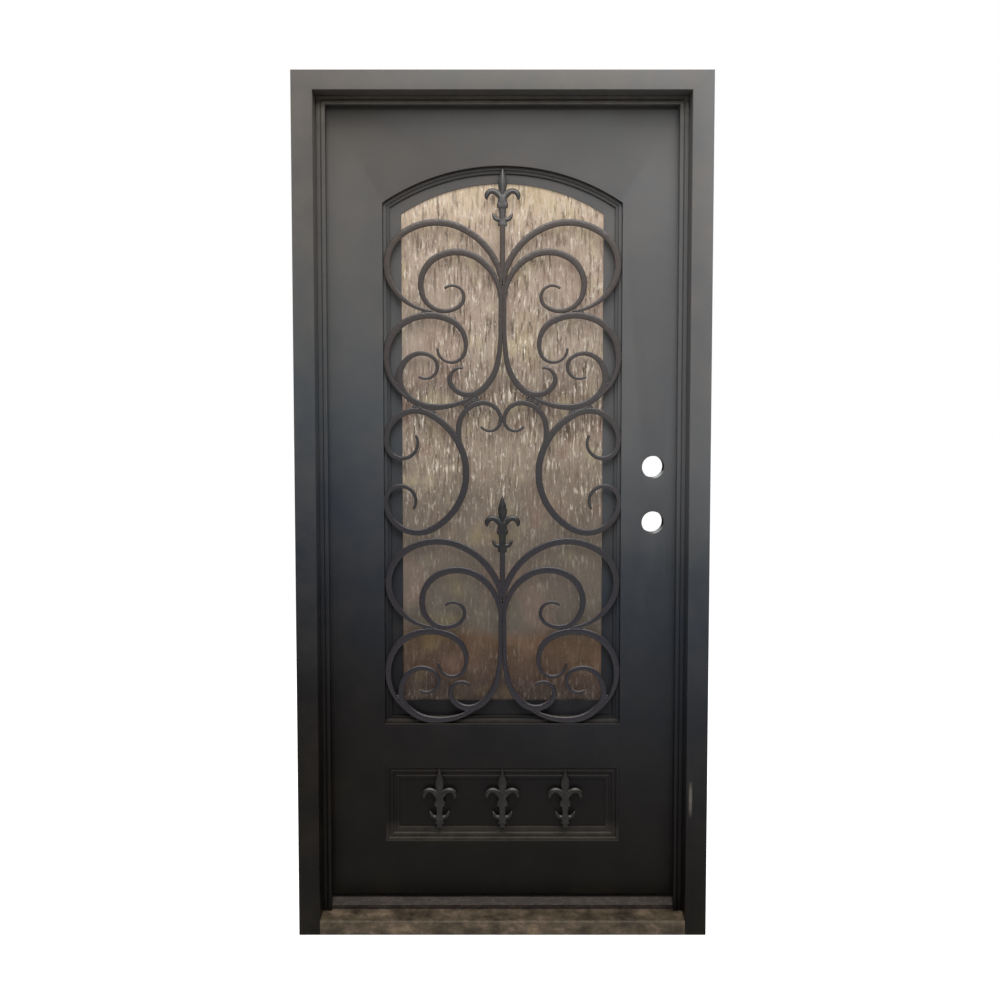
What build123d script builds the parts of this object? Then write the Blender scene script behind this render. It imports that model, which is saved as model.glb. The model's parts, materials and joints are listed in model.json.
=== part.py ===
from build123d import *
from math import acos, atan2, ceil, cos, pi, radians, sin, sqrt
import os

# A single inswing entry door of welded iron in its own steel frame.
# Millimetres. X runs across the door, Y from the outside to the inside, Z up.
# The origin is in the middle of the frame's underside.

# Frame
frame_width = 990.6
frame_height = 2070.1
frame_depth = 152.4
jamb_face = 50.8
header_face = 46.0

# Threshold
nose_height = 35.0
nose_radius = 6.0
tread_depth = 84.0
riser_height = 10.0
sill_height = 59.5

# Door stop, a stepped moulding round the inside of the frame
stop_setback = 70.0
stop_width = 21.0
stop_fillet_width = 9.5
stop_groove_width = 2.5
stop_groove_depth = 5.0
stop_fillet_step = 2.5
stop_to_leaf = 5.6
seal_gap = 0.3
seal_width = 9.0
seal_lap = 1.0

# Leaf
leaf_thickness = 50.8
edge_gap = 5.0
bottom_gap = 8.5
stile_width = 149.2
top_rail_height = 156.0
sweep_height = 3.5
sweep_thickness = 9.0
sweep_inset = 2.0

# Lock preparation
lock_backset = 70.9
cross_bore = 54.0
edge_bore = 25.4
latch_height = 1000.2
lock_spacing = 136.2

# Window opening in the leaf, with the sash that holds the glass
window_bottom = 499.0
window_arch_radius = 522.0
trim_width = 16.0
trim_step = 5.0
trim_depth = 12.0
sash_clearance = 3.0
sash_width = 41.0
sash_sill_extra = 11.0
sash_crown_relief = 4.3
sash_lip = 5.0
rebate_width = 12.0
glass_gap = 0.3
pane_thickness = 5.0
spacer_thickness = 5.0
spacer_width = 8.0

# Kick panel. Each step of its moulding has a distance from the opening's edge and a setback from the leaf's face.
kick_bottom = 202.9
kick_height = 190.2
kick_panel_thickness = 26.0
kick_moulding_steps = ((0.0, 0.5), (7.5, 4.5), (12.5, 3.5), (19.0, 7.5), (26.0, 6.5))
kick_moulding_width = 34.5
kick_recess = 12.0
kick_fleur_pitch = 156.4
kick_fleur_foot = 248.0
kick_fleur_setback = 1.5
kick_stub_lap = 2.0

# Forged bars in the window
grille_setback = 2.0
bar_depth = 12.7
bar_width = 16.0
waist_width = 13.0
thin_width = 9.4
tip_width = 6.0
stem_width = 12.7
stem_lap = 5.0
weld_gap = 0.3
curve_tolerance = 0.35

# Cast fleurs
fleur_height = 140.0
fleur_depth = 11.4
fleur_step = 1.0
fleur_top_gap = 3.0

# Hinges
hinge_heights = (270.0, 1040.0, 1790.0)
knuckle_radius = 11.0
knuckle_length = 60.0
knuckle_standoff = 5.0
knuckle_gap = 0.3
pin_radius = 6.0
pin_clearance = 0.05
pin_length = 48.0
pin_end_room = 1.0
tab_reach = 38.0
tab_thickness = 5.0
tab_blend = 2.0

# Sash fittings on the inside
sash_fitting_inset = 220.0
sash_hinge_radius = 5.0
sash_hinge_length = 70.0
sash_hinge_wing = 22.0
sash_hinge_thickness = 2.5
latch_base_width = 26.0
latch_base_height = 40.0
latch_base_thickness = 4.0
latch_base_standoff = 4.0
latch_blade_reach = 30.0
latch_blade_width = 16.0
latch_blade_thickness = 5.0
latch_knob_radius = 7.0
latch_knob_length = 10.0

# Places worked out from the sizes above
front = -frame_depth / 2
back = frame_depth / 2
half_frame = frame_width / 2
half_door = half_frame - jamb_face
door_head = frame_height - header_face
half_leaf = half_door - edge_gap
leaf_front = back - leaf_thickness
leaf_middle = back - leaf_thickness / 2
deadbolt_height = latch_height + lock_spacing
leaf_bottom = sill_height + bottom_gap
leaf_top = door_head - edge_gap
half_window = half_leaf - stile_width
window_crown = leaf_top - top_rail_height
arch_centre = window_crown - window_arch_radius
window_spring = arch_centre + sqrt(window_arch_radius ** 2 - half_window ** 2)
kick_top = kick_bottom + kick_height
kick_face = leaf_front + kick_recess
grille_front = leaf_front + grille_setback
grille_back = grille_front + bar_depth
trim_front = grille_back + weld_gap
trim_back = trim_front + trim_depth
sash_front = trim_back + weld_gap
glass_front = sash_front + sash_lip + glass_gap
glass_inset = sash_clearance + sash_width - rebate_width + glass_gap
hinge_x = -(half_door - edge_gap / 2)
hinge_y = back + knuckle_standoff + knuckle_radius
far = 3000.0


def block(x0, x1, y0, y1, z0, z1):
    """A box between two corners."""
    size = (x1 - x0, y1 - y0, z1 - z0)
    return Pos((x0 + x1) / 2, (y0 + y1) / 2, (z0 + z1) / 2) * Box(*size)


def face_on(points, plane):
    """A flat face with straight sides, drawn on a plane."""
    return plane * make_face(Polyline(*points, close=True))


def plate(points, y0, y1):
    """A plate cut to an outline of (x, z) points, between two depths."""
    return slab(make_face(Polyline(*points, close=True)), y0, y1)


def slab(face, y0, y1):
    """Extrude a face drawn in (x, z) from depth y0 to depth y1."""
    standing = Plane(origin=(0, y0, 0), x_dir=(1, 0, 0), z_dir=(0, -1, 0)) * face
    return extrude(standing, amount=y1 - y0, dir=(0, 1, 0))


def mirrored(shape):
    return mirror(shape, about=Plane.YZ)


def both_sides(shape):
    """A shape and its mirror image across the middle of the door."""
    return shape + mirrored(shape)


def together(shapes):
    """Several shapes as one."""
    first, *others = shapes
    for shape in others:
        first = first + shape
    return first


def save(shape, node):
    """Write one named piece, or one set of like pieces."""
    solids = shape.solids()
    export_step(Compound(children=[Solid(s.wrapped) for s in solids]) if len(solids) > 1 else solids[0],
                f"parts/{node}.step")


def left_jamb():
    """The left jamb, mitred where it meets the header."""
    outline = [(-half_frame, 0), (-half_door, 0), (-half_door, door_head), (-half_frame, frame_height)]
    return plate(outline, front, back)


def header():
    outline = [(-half_door, door_head), (half_door, door_head), (half_frame, frame_height), (-half_frame, frame_height)]
    return plate(outline, front, back)


def threshold():
    """The sill: a tread, a small riser and a ramp up to the flat under the leaf."""
    riser_top = nose_height + riser_height
    tread_back = front + tread_depth
    outline = [(front, 0), (back, 0), (back, sill_height), (leaf_front, sill_height), (tread_back, riser_top),
               (tread_back, nose_height), (front, nose_height)]
    profile = face_on(outline, Plane(origin=(-half_door, 0, 0), x_dir=(0, 1, 0), z_dir=(1, 0, 0)))
    solid = extrude(profile, amount=2 * half_door)
    nose = solid.edges().filter_by(Axis.X).sort_by_distance((0, front, nose_height))[0]
    return fillet(nose, nose_radius)


def stop_profile():
    """The stop's section as (distance from the frame's inner face, depth) points."""
    face = front + stop_setback
    rear = leaf_front - stop_to_leaf
    bead_start = stop_fillet_width + stop_groove_width
    return [(0, face + stop_fillet_step), (stop_fillet_width, face + stop_fillet_step),
            (stop_fillet_width, face + stop_groove_depth), (bead_start, face + stop_groove_depth),
            (bead_start, face), (stop_width, face), (stop_width, rear), (0, rear)]


def left_stop():
    """The left stop, mitred at the head and scribed over the threshold."""
    points = [(-half_door + u, y) for u, y in stop_profile()]
    solid = extrude(face_on(points, Plane.XY), amount=door_head)
    corner = 2 * stop_width
    mitre = plate([(-half_door, door_head), (-half_door + corner, door_head - corner), (far, door_head - corner),
                   (far, far), (-half_door, far)], -far, far)
    return solid - mitre - threshold()


def stop_head():
    """The stop under the header, mitred at both ends."""
    plane = Plane(origin=(-half_door, 0, 0), x_dir=(0, 1, 0), z_dir=(1, 0, 0))
    points = [(y, door_head - u) for u, y in stop_profile()]
    solid = extrude(face_on(points, plane), amount=2 * half_door)
    corner = 2 * stop_width
    mitre = plate([(-half_door, door_head), (-half_door, door_head - corner), (-half_door + corner, door_head - corner)],
                  -far, far)
    return solid - both_sides(mitre)


def weatherstrip():
    """Soft seals between the stop and the closed leaf."""
    y0 = leaf_front - stop_to_leaf
    y1 = leaf_front - seal_gap
    inner = half_door - stop_width + seal_lap
    head = door_head - stop_width + seal_lap
    side = block(-inner - seal_width, -inner, y0, y1, leaf_bottom, head)
    across = block(-inner + seal_lap, inner - seal_lap, y0, y1, head, head + seal_width)
    return both_sides(side) + across


def hinge_stile():
    return block(-half_leaf, -half_window, leaf_front, back, leaf_bottom, leaf_top)


def lock_stile():
    """The free side stile, bored for a deadbolt and a latch."""
    solid = mirrored(hinge_stile())
    bore_x = half_leaf - lock_backset
    for height in (deadbolt_height, latch_height):
        solid -= Pos(bore_x, leaf_middle, height) * Rot(90, 0, 0) * Cylinder(cross_bore / 2, 2 * leaf_thickness)
        solid -= Pos(half_leaf, leaf_middle, height) * Rot(0, 90, 0) * Cylinder(edge_bore / 2, 2 * lock_backset)
    return solid


def arched_face(inset, lift=0.0, relief=0.0):
    """The window's outline, drawn in (x, z), moved inward by a distance, then raised at its bottom and its crown."""
    half = half_window - inset
    low = window_bottom + inset + lift
    radius = window_arch_radius - inset
    spring = arch_centre + sqrt(radius ** 2 - half ** 2)
    crown = arch_centre + radius + relief
    outline = Polyline((half, spring), (half, low), (-half, low), (-half, spring))
    return make_face(outline + ThreePointArc((-half, spring), (0, crown), (half, spring)))


def arched_ring(outer, inner, y0, y1):
    """A frame that follows the window's outline, between two outlines' sizes and two depths."""
    return slab(arched_face(*outer), y0, y1) - slab(arched_face(*inner), y0 - 1, y1 + 1)


def glazed(inset):
    """The sizes of an outline inside the sash, whose rails are wider at the bottom and slimmer at the crown."""
    return inset, sash_sill_extra, sash_crown_relief


def split_ring(ring):
    """Cut an arched frame into its two sides, its mitred bottom and its arch."""
    corner = half_window / 3
    low = plate([(-half_window, window_bottom), (half_window, window_bottom),
                 (half_window - corner, window_bottom + corner), (-half_window + corner, window_bottom + corner)],
                -far, far)
    high = block(-far, far, -far, far, window_spring, far)
    return ring - low - high, ring & low, ring & high


def window_trim():
    """The stepped moulding behind the forged bars."""
    middle = (trim_width / 2,)
    return (arched_ring((0,), middle, trim_front, trim_back)
            + arched_ring(middle, (trim_width,), trim_front + trim_step, trim_back))


def sash():
    """The frame of the glass, which opens inwards, with its front lip."""
    rebate = glazed(glass_inset - glass_gap)
    daylight = glazed(sash_clearance + sash_width)
    return (arched_ring((sash_clearance,), rebate, sash_front, back)
            + arched_ring(rebate, daylight, sash_front, sash_front + sash_lip))


def pane(depth):
    return slab(arched_face(*glazed(glass_inset)), depth, depth + pane_thickness)


def glass_spacer():
    y0 = glass_front + pane_thickness
    return arched_ring(glazed(glass_inset), glazed(glass_inset + spacer_width), y0, y0 + spacer_thickness)


def glazing_bead():
    y0 = glass_front + 2 * pane_thickness + spacer_thickness
    return arched_ring(glazed(glass_inset), glazed(sash_clearance + sash_width), y0, back)


def rail(z0, z1):
    """A rail of the leaf between its two stiles."""
    return block(-half_window, half_window, leaf_front, back, z0, z1)


def top_rail():
    """The head of the leaf, arched over the window."""
    return rail(window_spring, leaf_top) - slab(arched_face(0), leaf_front - 1, back + 1)


def kick_panel():
    return block(-half_window, half_window, kick_face, kick_face + kick_panel_thickness, kick_bottom, kick_top)


def kick_moulding():
    """The stepped frame round the kick panel."""
    inner_edges = [step[0] for step in kick_moulding_steps[1:]] + [kick_moulding_width]
    steps = []
    for (inset, setback), inner in zip(kick_moulding_steps, inner_edges):
        outside = block(-half_window + inset, half_window - inset, leaf_front + setback, kick_face,
                        kick_bottom + inset, kick_top - inset)
        inside = block(-half_window + inner, half_window - inner, -far, far, kick_bottom + inner, kick_top - inner)
        steps.append(outside - inside)
    return together(steps)


def split_kick_moulding(ring):
    """The mitred bottom, top and side lengths of the kick panel's moulding."""
    corner = kick_moulding_width * 2
    low = plate([(-half_window, kick_bottom), (half_window, kick_bottom),
                 (half_window - corner, kick_bottom + corner), (-half_window + corner, kick_bottom + corner)],
                -far, far)
    high = plate([(-half_window, kick_top), (half_window, kick_top),
                  (half_window - corner, kick_top - corner), (-half_window + corner, kick_top - corner)],
                 -far, far)
    return ring & low, ring & high, ring - low - high


# The pattern of the forged bars is drawn for a window whose half width is 100 and whose height is 469.5, from the
# middle of its bottom edge, and stretched to the real window. The widths of the bars are real sizes.
pattern_half_width = 100
pattern_height = 469.5
across = half_window / pattern_half_width
upward = (window_crown - window_bottom) / pattern_height

# The bars of the left half, from the outside in. Each has its start, its heading in degrees, its arcs as
# (radius, sweep) pairs, where a straight run is (None, length), and its widths between them.
junction = (-(thin_width + weld_gap) / 2 / across, 358.6)
motif_pitch = 267.0
crown_scroll = ((-5.5, 390.6), 116, ((59.6, 43), (48.6, 55), (32.7, 77), (41.3, 64)),
                (thin_width, bar_width, bar_width, bar_width, tip_width))
inner_spiral = (junction, 90, ((42.0, 54), (33.4, 64), (26.5, 77), (20.0, 112), (9.6, 181)),
                (thin_width, bar_width, bar_width, waist_width, thin_width, tip_width))
belly_scroll = ((-88.9, 286.3), 128, ((40.3, -48), (33.8, -60), (40.6, -46), (22.7, -80), (11.7, -161)),
                (thin_width, bar_width, bar_width, bar_width, thin_width, tip_width))
curled_scroll = ((-69.6, 294.9), -30, ((10.0, 175), (16.5, 75), (21.4, 97), (33.4, 39), (57.2, 30)),
                 (tip_width, thin_width, waist_width, bar_width, bar_width, thin_width))
split_bar = (junction, -90, ((None, 26.2), (140.9, -10), (40.6, -39), (17.2, -97), (9.6, -129)),
             (thin_width, thin_width, waist_width, bar_width, waist_width, tip_width))
lower_split_bar = (junction, -90, ((None, 26.2), (140.9, -10), (40.6, -39), (17.2, -97), (9.6, -165)),
                   (thin_width, thin_width, waist_width, bar_width, waist_width, tip_width))
small_curl = ((-17.6, 252.8), -48, ((9.3, 142), (14.8, 94), (21.7, 80), (51.0, 27)),
              (tip_width, thin_width, waist_width, waist_width, tip_width))
c_scroll = ((-72.7, 245.3), -64,
            ((13.1, -194), (24.8, -129), (57.2, -52), (53.0, -74), (26.9, -116), (12.7, -210)),
            (tip_width, waist_width, bar_width, bar_width, bar_width, waist_width, tip_width))
lower_fleur_foot = window_bottom + 147.1 * upward
upper_fleur_foot = window_crown - fleur_top_gap - fleur_height


def flats(radius, sweep):
    """How many flats stay within the tolerance of an arc, in real sizes and degrees."""
    widest = 2 * acos(1 - curve_tolerance / radius)
    return max(1, ceil(radians(abs(sweep)) / widest))


def centreline(start, heading, arcs, widths):
    """Walk along the tangent arcs and list (x, z, heading, width) stations, in the pattern's sizes."""
    x, z = start
    angle = radians(heading)
    stations = [(x, z, angle, widths[0])]
    for (radius, sweep), first, last in zip(arcs, widths, widths[1:]):
        count = 1 if radius is None else flats(radius * across, sweep)
        turn = 0 if radius is None else radians(sweep) / count
        chord = sweep if radius is None else 2 * radius * sin(abs(turn) / 2)
        for step in range(1, count + 1):
            x += chord * cos(angle + turn / 2)
            z += chord * sin(angle + turn / 2)
            angle += turn
            stations.append((x, z, angle, first + (last - first) * step / count))
    return stations


def beside(station, side, grow):
    """The point on one edge of the bar beside a station, in real sizes."""
    x, z, angle, width = station
    heading = atan2(sin(angle) * upward, cos(angle) * across)
    offset = side * (width / 2 + grow)
    return (x * across - offset * sin(heading), window_bottom + z * upward + offset * cos(heading))


def forged_bar(bar, grow=0.0):
    """A flat bar bent along tangent arcs, its width changing evenly along each arc."""
    stations = centreline(*bar)
    left = [beside(station, 1, grow) for station in stations]
    right = [beside(station, -1, grow) for station in stations]
    return plate(left + right[::-1], grille_front - grow, grille_back + grow)


def largest(shape):
    return shape.solids().sort_by(SortBy.VOLUME)[-1]


def window_room():
    """The window opening, less a weld's width at its edges."""
    return slab(arched_face(weld_gap), leaf_front, back)


def fit_bar(bar, neighbours):
    """Trim a bar to its half of the opening and to the bars that it is welded to."""
    left_half = block(-far, -weld_gap / 2, -far, far, 0, far)
    shape = forged_bar(bar) & window_room() & left_half
    for other in neighbours:
        shape -= other
    return largest(shape)


def lowered(shape):
    """A shape moved down from the upper motif to the lower one."""
    return Pos(0, 0, -motif_pitch * upward) * shape


def forged_bars():
    """All forged bars, by name, each trimmed where it meets the ones before."""
    seam = {name: forged_bar(bar, grow=weld_gap) for name, bar in
            (("spiral", inner_spiral), ("crown", crown_scroll), ("belly", belly_scroll), ("curled", curled_scroll),
             ("split", split_bar), ("lower_split", lower_split_bar), ("ring", c_scroll))}
    spiral = fit_bar(inner_spiral, [])
    crown = fit_bar(crown_scroll, [seam["spiral"]])
    belly = fit_bar(belly_scroll, [seam["crown"], seam["spiral"]])
    curled = fit_bar(curled_scroll, [seam["belly"]])
    split = fit_bar(split_bar, [seam["belly"], seam["curled"]])
    ring = fit_bar(c_scroll, [seam["curled"], seam["split"]])
    curl = fit_bar(small_curl, [seam["curled"], seam["split"], seam["ring"]])
    lower_split = fit_bar(lower_split_bar, [seam["belly"]])
    pairs = {"crown_scrolls": (crown, lowered(crown) - seam["ring"]),
             "inner_spirals": (spiral, lowered(spiral) - seam["ring"]),
             "belly_scrolls": (belly, lowered(belly)),
             "curled_scrolls": (curled, lowered(curled - seam["lower_split"])),
             "split_bars": (split, lowered(lower_split))}
    nodes = {name: both_sides(upper) + both_sides(largest(lower & window_room()))
             for name, (upper, lower) in pairs.items()}
    nodes["c_scrolls"] = both_sides(ring)
    nodes["small_curls"] = both_sides(curl)
    forks = both_sides(seam["spiral"] + seam["crown"])
    fork_height = window_bottom + junction[1] * upward + stem_lap
    nodes["stem_bars"] = stem(fork_height, upper_fleur_foot, forks) + stem(
        fork_height - motif_pitch * upward, lower_fleur_foot, lowered(forks))
    return nodes


def stem(low, foot, forks):
    """The upright bar from a casting's foot down into the fork of the scrolls."""
    bar = block(-stem_width / 2, stem_width / 2, grille_front, grille_back, low, foot - weld_gap)
    return largest(bar - forks)


# The casting's outlines are drawn in hundredths of its height, up from the middle of its foot. A round stretch is
# three points in brackets: its start, a point on it and its end.
middle_petal = (((0, 47.1), (8.1, 74.3), (0, 100)), ((0, 100), (-8.1, 74.3), (0, 47.1)))
side_petal = (((-3.6, 52.9), (-15.7, 63.2), (-29.3, 56.4)), ((-25.0, 45.4), (-17.1, 54.3), (-6.4, 41.4)))
cup = ((-8.8, 38.6), (8.8, 38.6), (7.9, 47.1), (3.6, 57.1), (-3.6, 57.1), (-7.9, 47.1))
band = ((-9.9, 31.4), (9.9, 31.4), (9.9, 39.3), (-9.9, 39.3))
neck = ((-5.4, 8.6), (5.4, 8.6), (6.9, 32.9), (-6.9, 32.9))
leaf = (((-5.0, 7.1), (-13.6, 12.1), (-17.6, 23.6)), (-12.1, 20.0), (-5.0, 17.9))
foot = ((-8.4, 0), (8.4, 0), (8.4, 2.1), (5.7, 11.4), (-5.7, 11.4), (-8.4, 2.1))


def round_stretch(start, on, end):
    """Points along the arc through three points, within the tolerance for a casting's outline."""
    (ax, az), (bx, bz), (cx, cz) = start, on, end
    d = 2 * (ax * (bz - cz) + bx * (cz - az) + cx * (az - bz))
    a2, b2, c2 = ax * ax + az * az, bx * bx + bz * bz, cx * cx + cz * cz
    mid_x = (a2 * (bz - cz) + b2 * (cz - az) + c2 * (az - bz)) / d
    mid_z = (a2 * (cx - bx) + b2 * (ax - cx) + c2 * (bx - ax)) / d
    radius = sqrt((ax - mid_x) ** 2 + (az - mid_z) ** 2)
    first = atan2(az - mid_z, ax - mid_x)
    sweep = (atan2(cz - mid_z, cx - mid_x) - first) % (2 * pi)
    if d < 0:
        sweep -= 2 * pi
    count = flats(radius * fleur_height / 100, sweep * 180 / pi)
    return [(mid_x + radius * cos(first + sweep * i / count), mid_z + radius * sin(first + sweep * i / count))
            for i in range(count + 1)]


def cast_piece(outline, y0, y1):
    """A flat piece of the casting between two depths."""
    scale = fleur_height / 100
    points = []
    for item in outline:
        points += round_stretch(*item) if isinstance(item[0], tuple) else [item]
    places = []
    for x, z in points:
        if not places or abs(x * scale - places[-1][0]) + abs(z * scale - places[-1][1]) > curve_tolerance:
            places.append((x * scale, z * scale))
    if abs(places[0][0] - places[-1][0]) + abs(places[0][1] - places[-1][1]) < curve_tolerance:
        places.pop()
    return plate(places, y0, y1)


def fleur(y0):
    """One cast fleur with its foot on the origin and its front at depth y0, each layer a step behind the band."""
    y1 = y0 + fleur_depth
    layers = {band: 0, cup: 1, foot: 1, middle_petal: 2, neck: 2, side_petal: 3, leaf: 4}
    shapes = {outline: cast_piece(outline, y0 + fleur_step * depth, y1 - fleur_step * depth / 2)
              for outline, depth in layers.items()}
    body = together(shapes[outline] for outline in (neck, foot, band, cup, middle_petal))
    return body + both_sides(shapes[side_petal] + shapes[leaf])


def window_fleurs():
    casting = fleur(grille_front + (bar_depth - fleur_depth) / 2)
    return (Pos(0, 0, upper_fleur_foot) * casting & window_room()) + Pos(0, 0, lower_fleur_foot) * casting


def kick_fleurs():
    """Three castings whose tips lie over the moulding, each on a short stub."""
    rear = leaf_front + kick_fleur_setback
    stub = block(-stem_width / 2, stem_width / 2, rear - fleur_depth / 2, kick_face,
                 kick_bottom + kick_moulding_width, kick_fleur_foot + kick_stub_lap)
    casting = stub + Pos(0, 0, kick_fleur_foot) * fleur(rear - fleur_depth)
    return together(Pos(place * kick_fleur_pitch, 0, 0) * casting for place in (-1, 0, 1))


def knuckle(side, low):
    """A barrel with its welded foot, towards one side of the pin."""
    edge = hinge_x + side * edge_gap / 2
    points = [(edge, back), (edge + side * tab_reach, back), (edge + side * tab_reach, back + tab_thickness),
              (hinge_x + side * (knuckle_radius - tab_blend / 4), hinge_y + tab_blend)]
    section = face_on(points if side > 0 else points[::-1], Plane.XY) + Pos(hinge_x, hinge_y) * Circle(knuckle_radius)
    return Pos(0, 0, low) * extrude(section, amount=knuckle_length)


def frame_knuckle(height):
    """The lower knuckle, welded to the jamb, with its pin."""
    low = height - pin_end_room
    pin = Pos(hinge_x, hinge_y, (low + height + pin_length) / 2) * Cylinder(pin_radius, height + pin_length - low)
    return knuckle(-1, height - knuckle_length) + pin


def leaf_knuckle(height):
    """The upper knuckle, welded to the leaf, closed at the top."""
    low = height + knuckle_gap
    bore_end = height + pin_length + pin_end_room
    bore = Pos(hinge_x, hinge_y, (height + bore_end) / 2) * Cylinder(pin_radius + pin_clearance, bore_end - height)
    return knuckle(1, low) - bore


def sash_fitting_heights():
    return window_bottom + sash_fitting_inset, window_spring - sash_fitting_inset


def sash_hinge(height):
    """A small butt hinge between the leaf and the sash, on the inside."""
    x = -half_window + sash_clearance / 2
    half = sash_hinge_length / 2
    barrel = Pos(x, back + sash_hinge_radius, height) * Cylinder(sash_hinge_radius, sash_hinge_length)
    return barrel + block(x - sash_hinge_wing, x + sash_hinge_wing, back, back + sash_hinge_thickness,
                          height - half, height + half)


def sash_latch(height):
    """A turn button that holds the sash shut on the inside."""
    edge = half_window + latch_base_standoff
    pivot = edge + latch_base_width / 2
    base_back = back + latch_base_thickness
    base = block(edge, edge + latch_base_width, back, base_back, height - latch_base_height / 2,
                 height + latch_base_height / 2)
    knob = Pos(pivot, base_back + latch_knob_length / 2, height) * Rot(90, 0, 0) * Cylinder(
        latch_knob_radius, latch_knob_length)
    blade = block(half_window - latch_blade_reach, pivot, base_back, base_back + latch_blade_thickness,
                  height - latch_blade_width / 2, height + latch_blade_width / 2)
    return base + knob + blade


def door_sweep():
    return block(-half_leaf + sweep_inset, half_leaf - sweep_inset, leaf_middle - sweep_thickness / 2,
                 leaf_middle + sweep_thickness / 2, leaf_bottom - sweep_height, leaf_bottom)


def main():
    os.makedirs("parts", exist_ok=True)
    save(left_jamb(), "jamb_left")
    save(mirrored(left_jamb()), "jamb_right")
    save(header(), "header")
    save(threshold(), "threshold")
    save(left_stop(), "stop_left")
    save(mirrored(left_stop()), "stop_right")
    save(stop_head(), "stop_head")
    save(weatherstrip(), "weatherstrip")
    save(together(frame_knuckle(height) for height in hinge_heights), "frame_hinge_knuckles")
    save(together(leaf_knuckle(height) for height in hinge_heights), "leaf_hinge_knuckles")
    save(hinge_stile(), "stile_hinge_side")
    save(lock_stile(), "stile_lock_side")
    save(top_rail(), "top_rail")
    save(rail(kick_top, window_bottom), "middle_rail")
    save(rail(leaf_bottom, kick_bottom), "bottom_rail")
    save(door_sweep(), "door_sweep")
    save(kick_panel(), "kick_panel")
    low, high, sides = split_kick_moulding(kick_moulding())
    save(low + high, "kick_moulding_rails")
    save(sides, "kick_moulding_sides")
    save(kick_fleurs(), "kick_fleurs")
    for name, ring in (("window_trim", window_trim()), ("sash", sash()), ("glazing_bead", glazing_bead())):
        sides, low, arch = split_ring(ring)
        save(sides, f"{name}_sides")
        save(low, f"{name}_bottom")
        save(arch, f"{name}_arch")
    save(pane(glass_front), "rain_glass")
    save(glass_spacer(), "glass_spacer")
    save(pane(glass_front + pane_thickness + spacer_thickness), "inner_glass")
    save(together(sash_hinge(height) for height in sash_fitting_heights()), "sash_hinges")
    save(together(sash_latch(height) for height in sash_fitting_heights()), "sash_latches")
    for name, shape in forged_bars().items():
        save(shape, name)
    save(window_fleurs(), "window_fleurs")


main()
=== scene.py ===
"""The looks of a wrought iron front door: steel frame and leaf, forged scrollwork, castings and rain glass."""
import json
from functools import cache
from math import asin, atan2, ceil, copysign, cos, pi, radians, sin, sqrt

import bmesh
import bpy
from mathutils import Matrix, Vector, noise


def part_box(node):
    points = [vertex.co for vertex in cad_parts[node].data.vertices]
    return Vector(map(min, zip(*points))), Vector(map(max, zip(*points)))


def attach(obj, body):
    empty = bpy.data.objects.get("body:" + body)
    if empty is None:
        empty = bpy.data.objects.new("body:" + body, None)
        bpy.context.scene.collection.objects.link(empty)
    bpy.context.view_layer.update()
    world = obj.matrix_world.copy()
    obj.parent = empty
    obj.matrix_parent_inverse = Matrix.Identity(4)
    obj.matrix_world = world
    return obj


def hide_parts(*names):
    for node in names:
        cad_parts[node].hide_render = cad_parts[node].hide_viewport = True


bl_info = {
    "name": "Wrought iron front door",
    "version": (1, 0, 0),
    "blender": (4, 5, 0),
    "location": "3D View > Sidebar > Iron door",
    "description": "Builds the visible pieces of a wrought iron front door round its steel frame",
    "category": "Add Mesh",
}

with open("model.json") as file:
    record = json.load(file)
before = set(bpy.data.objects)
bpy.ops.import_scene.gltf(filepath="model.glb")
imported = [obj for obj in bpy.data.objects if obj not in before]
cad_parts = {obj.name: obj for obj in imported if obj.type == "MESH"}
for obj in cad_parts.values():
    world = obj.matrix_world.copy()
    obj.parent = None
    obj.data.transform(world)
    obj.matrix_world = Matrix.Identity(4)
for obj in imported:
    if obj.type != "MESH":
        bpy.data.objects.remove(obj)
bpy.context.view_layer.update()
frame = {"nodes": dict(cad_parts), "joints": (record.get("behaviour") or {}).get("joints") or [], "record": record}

MM = 0.001


def lowest(node):
    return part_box(node)[0]


def highest(node):
    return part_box(node)[1]


# Places read from the frame, in metres
half_frame = highest("jamb_right").x
half_door = lowest("jamb_right").x
frame_head = highest("header").z
door_head = lowest("header").z
frame_front = lowest("header").y
frame_back = highest("header").y
tread = highest("threshold").z - 24.5 * MM
sill_step = lowest("threshold").y + 84 * MM
leaf_front = lowest("stile_hinge_side").y
leaf_back = highest("stile_hinge_side").y
leaf_foot = lowest("stile_hinge_side").z
leaf_head = highest("stile_hinge_side").z
half_leaf = highest("stile_lock_side").x
half_window = lowest("stile_lock_side").x
window_foot = highest("middle_rail").z
window_head = highest("window_trim_arch").z
window_spring = lowest("top_rail").z
window_rise = window_head - window_spring
arch_radius = (half_window ** 2 + window_rise ** 2) / (2 * window_rise)
arch_centre = window_head - arch_radius
kick_foot = lowest("kick_panel").z
kick_head = highest("kick_panel").z
kick_face = lowest("kick_panel").y
bars_front = lowest("belly_scrolls").y
bars_back = highest("belly_scrolls").y
stop_face = lowest("stop_left").y
stop_back = highest("stop_left").y
stop_inner = -highest("stop_left").x
trim_face = lowest("window_trim_sides").y
trim_back = highest("window_trim_sides").y
sash_face = lowest("sash_sides").y
sash_edge = half_window - highest("sash_sides").x
glass_face = lowest("rain_glass").y
glass_rear = highest("rain_glass").y
inner_glass_rear = highest("inner_glass").y
glass_edge = half_window - highest("rain_glass").x
sash_lift = lowest("rain_glass").z - window_foot - glass_edge
sash_relief = highest("rain_glass").z - (window_head - glass_edge)
daylight = highest("sash_bottom").z - window_foot - sash_lift
spacer_edge = glass_edge + 8 * MM
hinge_line = frame["joints"][0]["pos_m"]
hinge_heights = (lowest("frame_hinge_knuckles").z + 60 * MM, hinge_line[2],
                 highest("frame_hinge_knuckles").z - 48 * MM)


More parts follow.
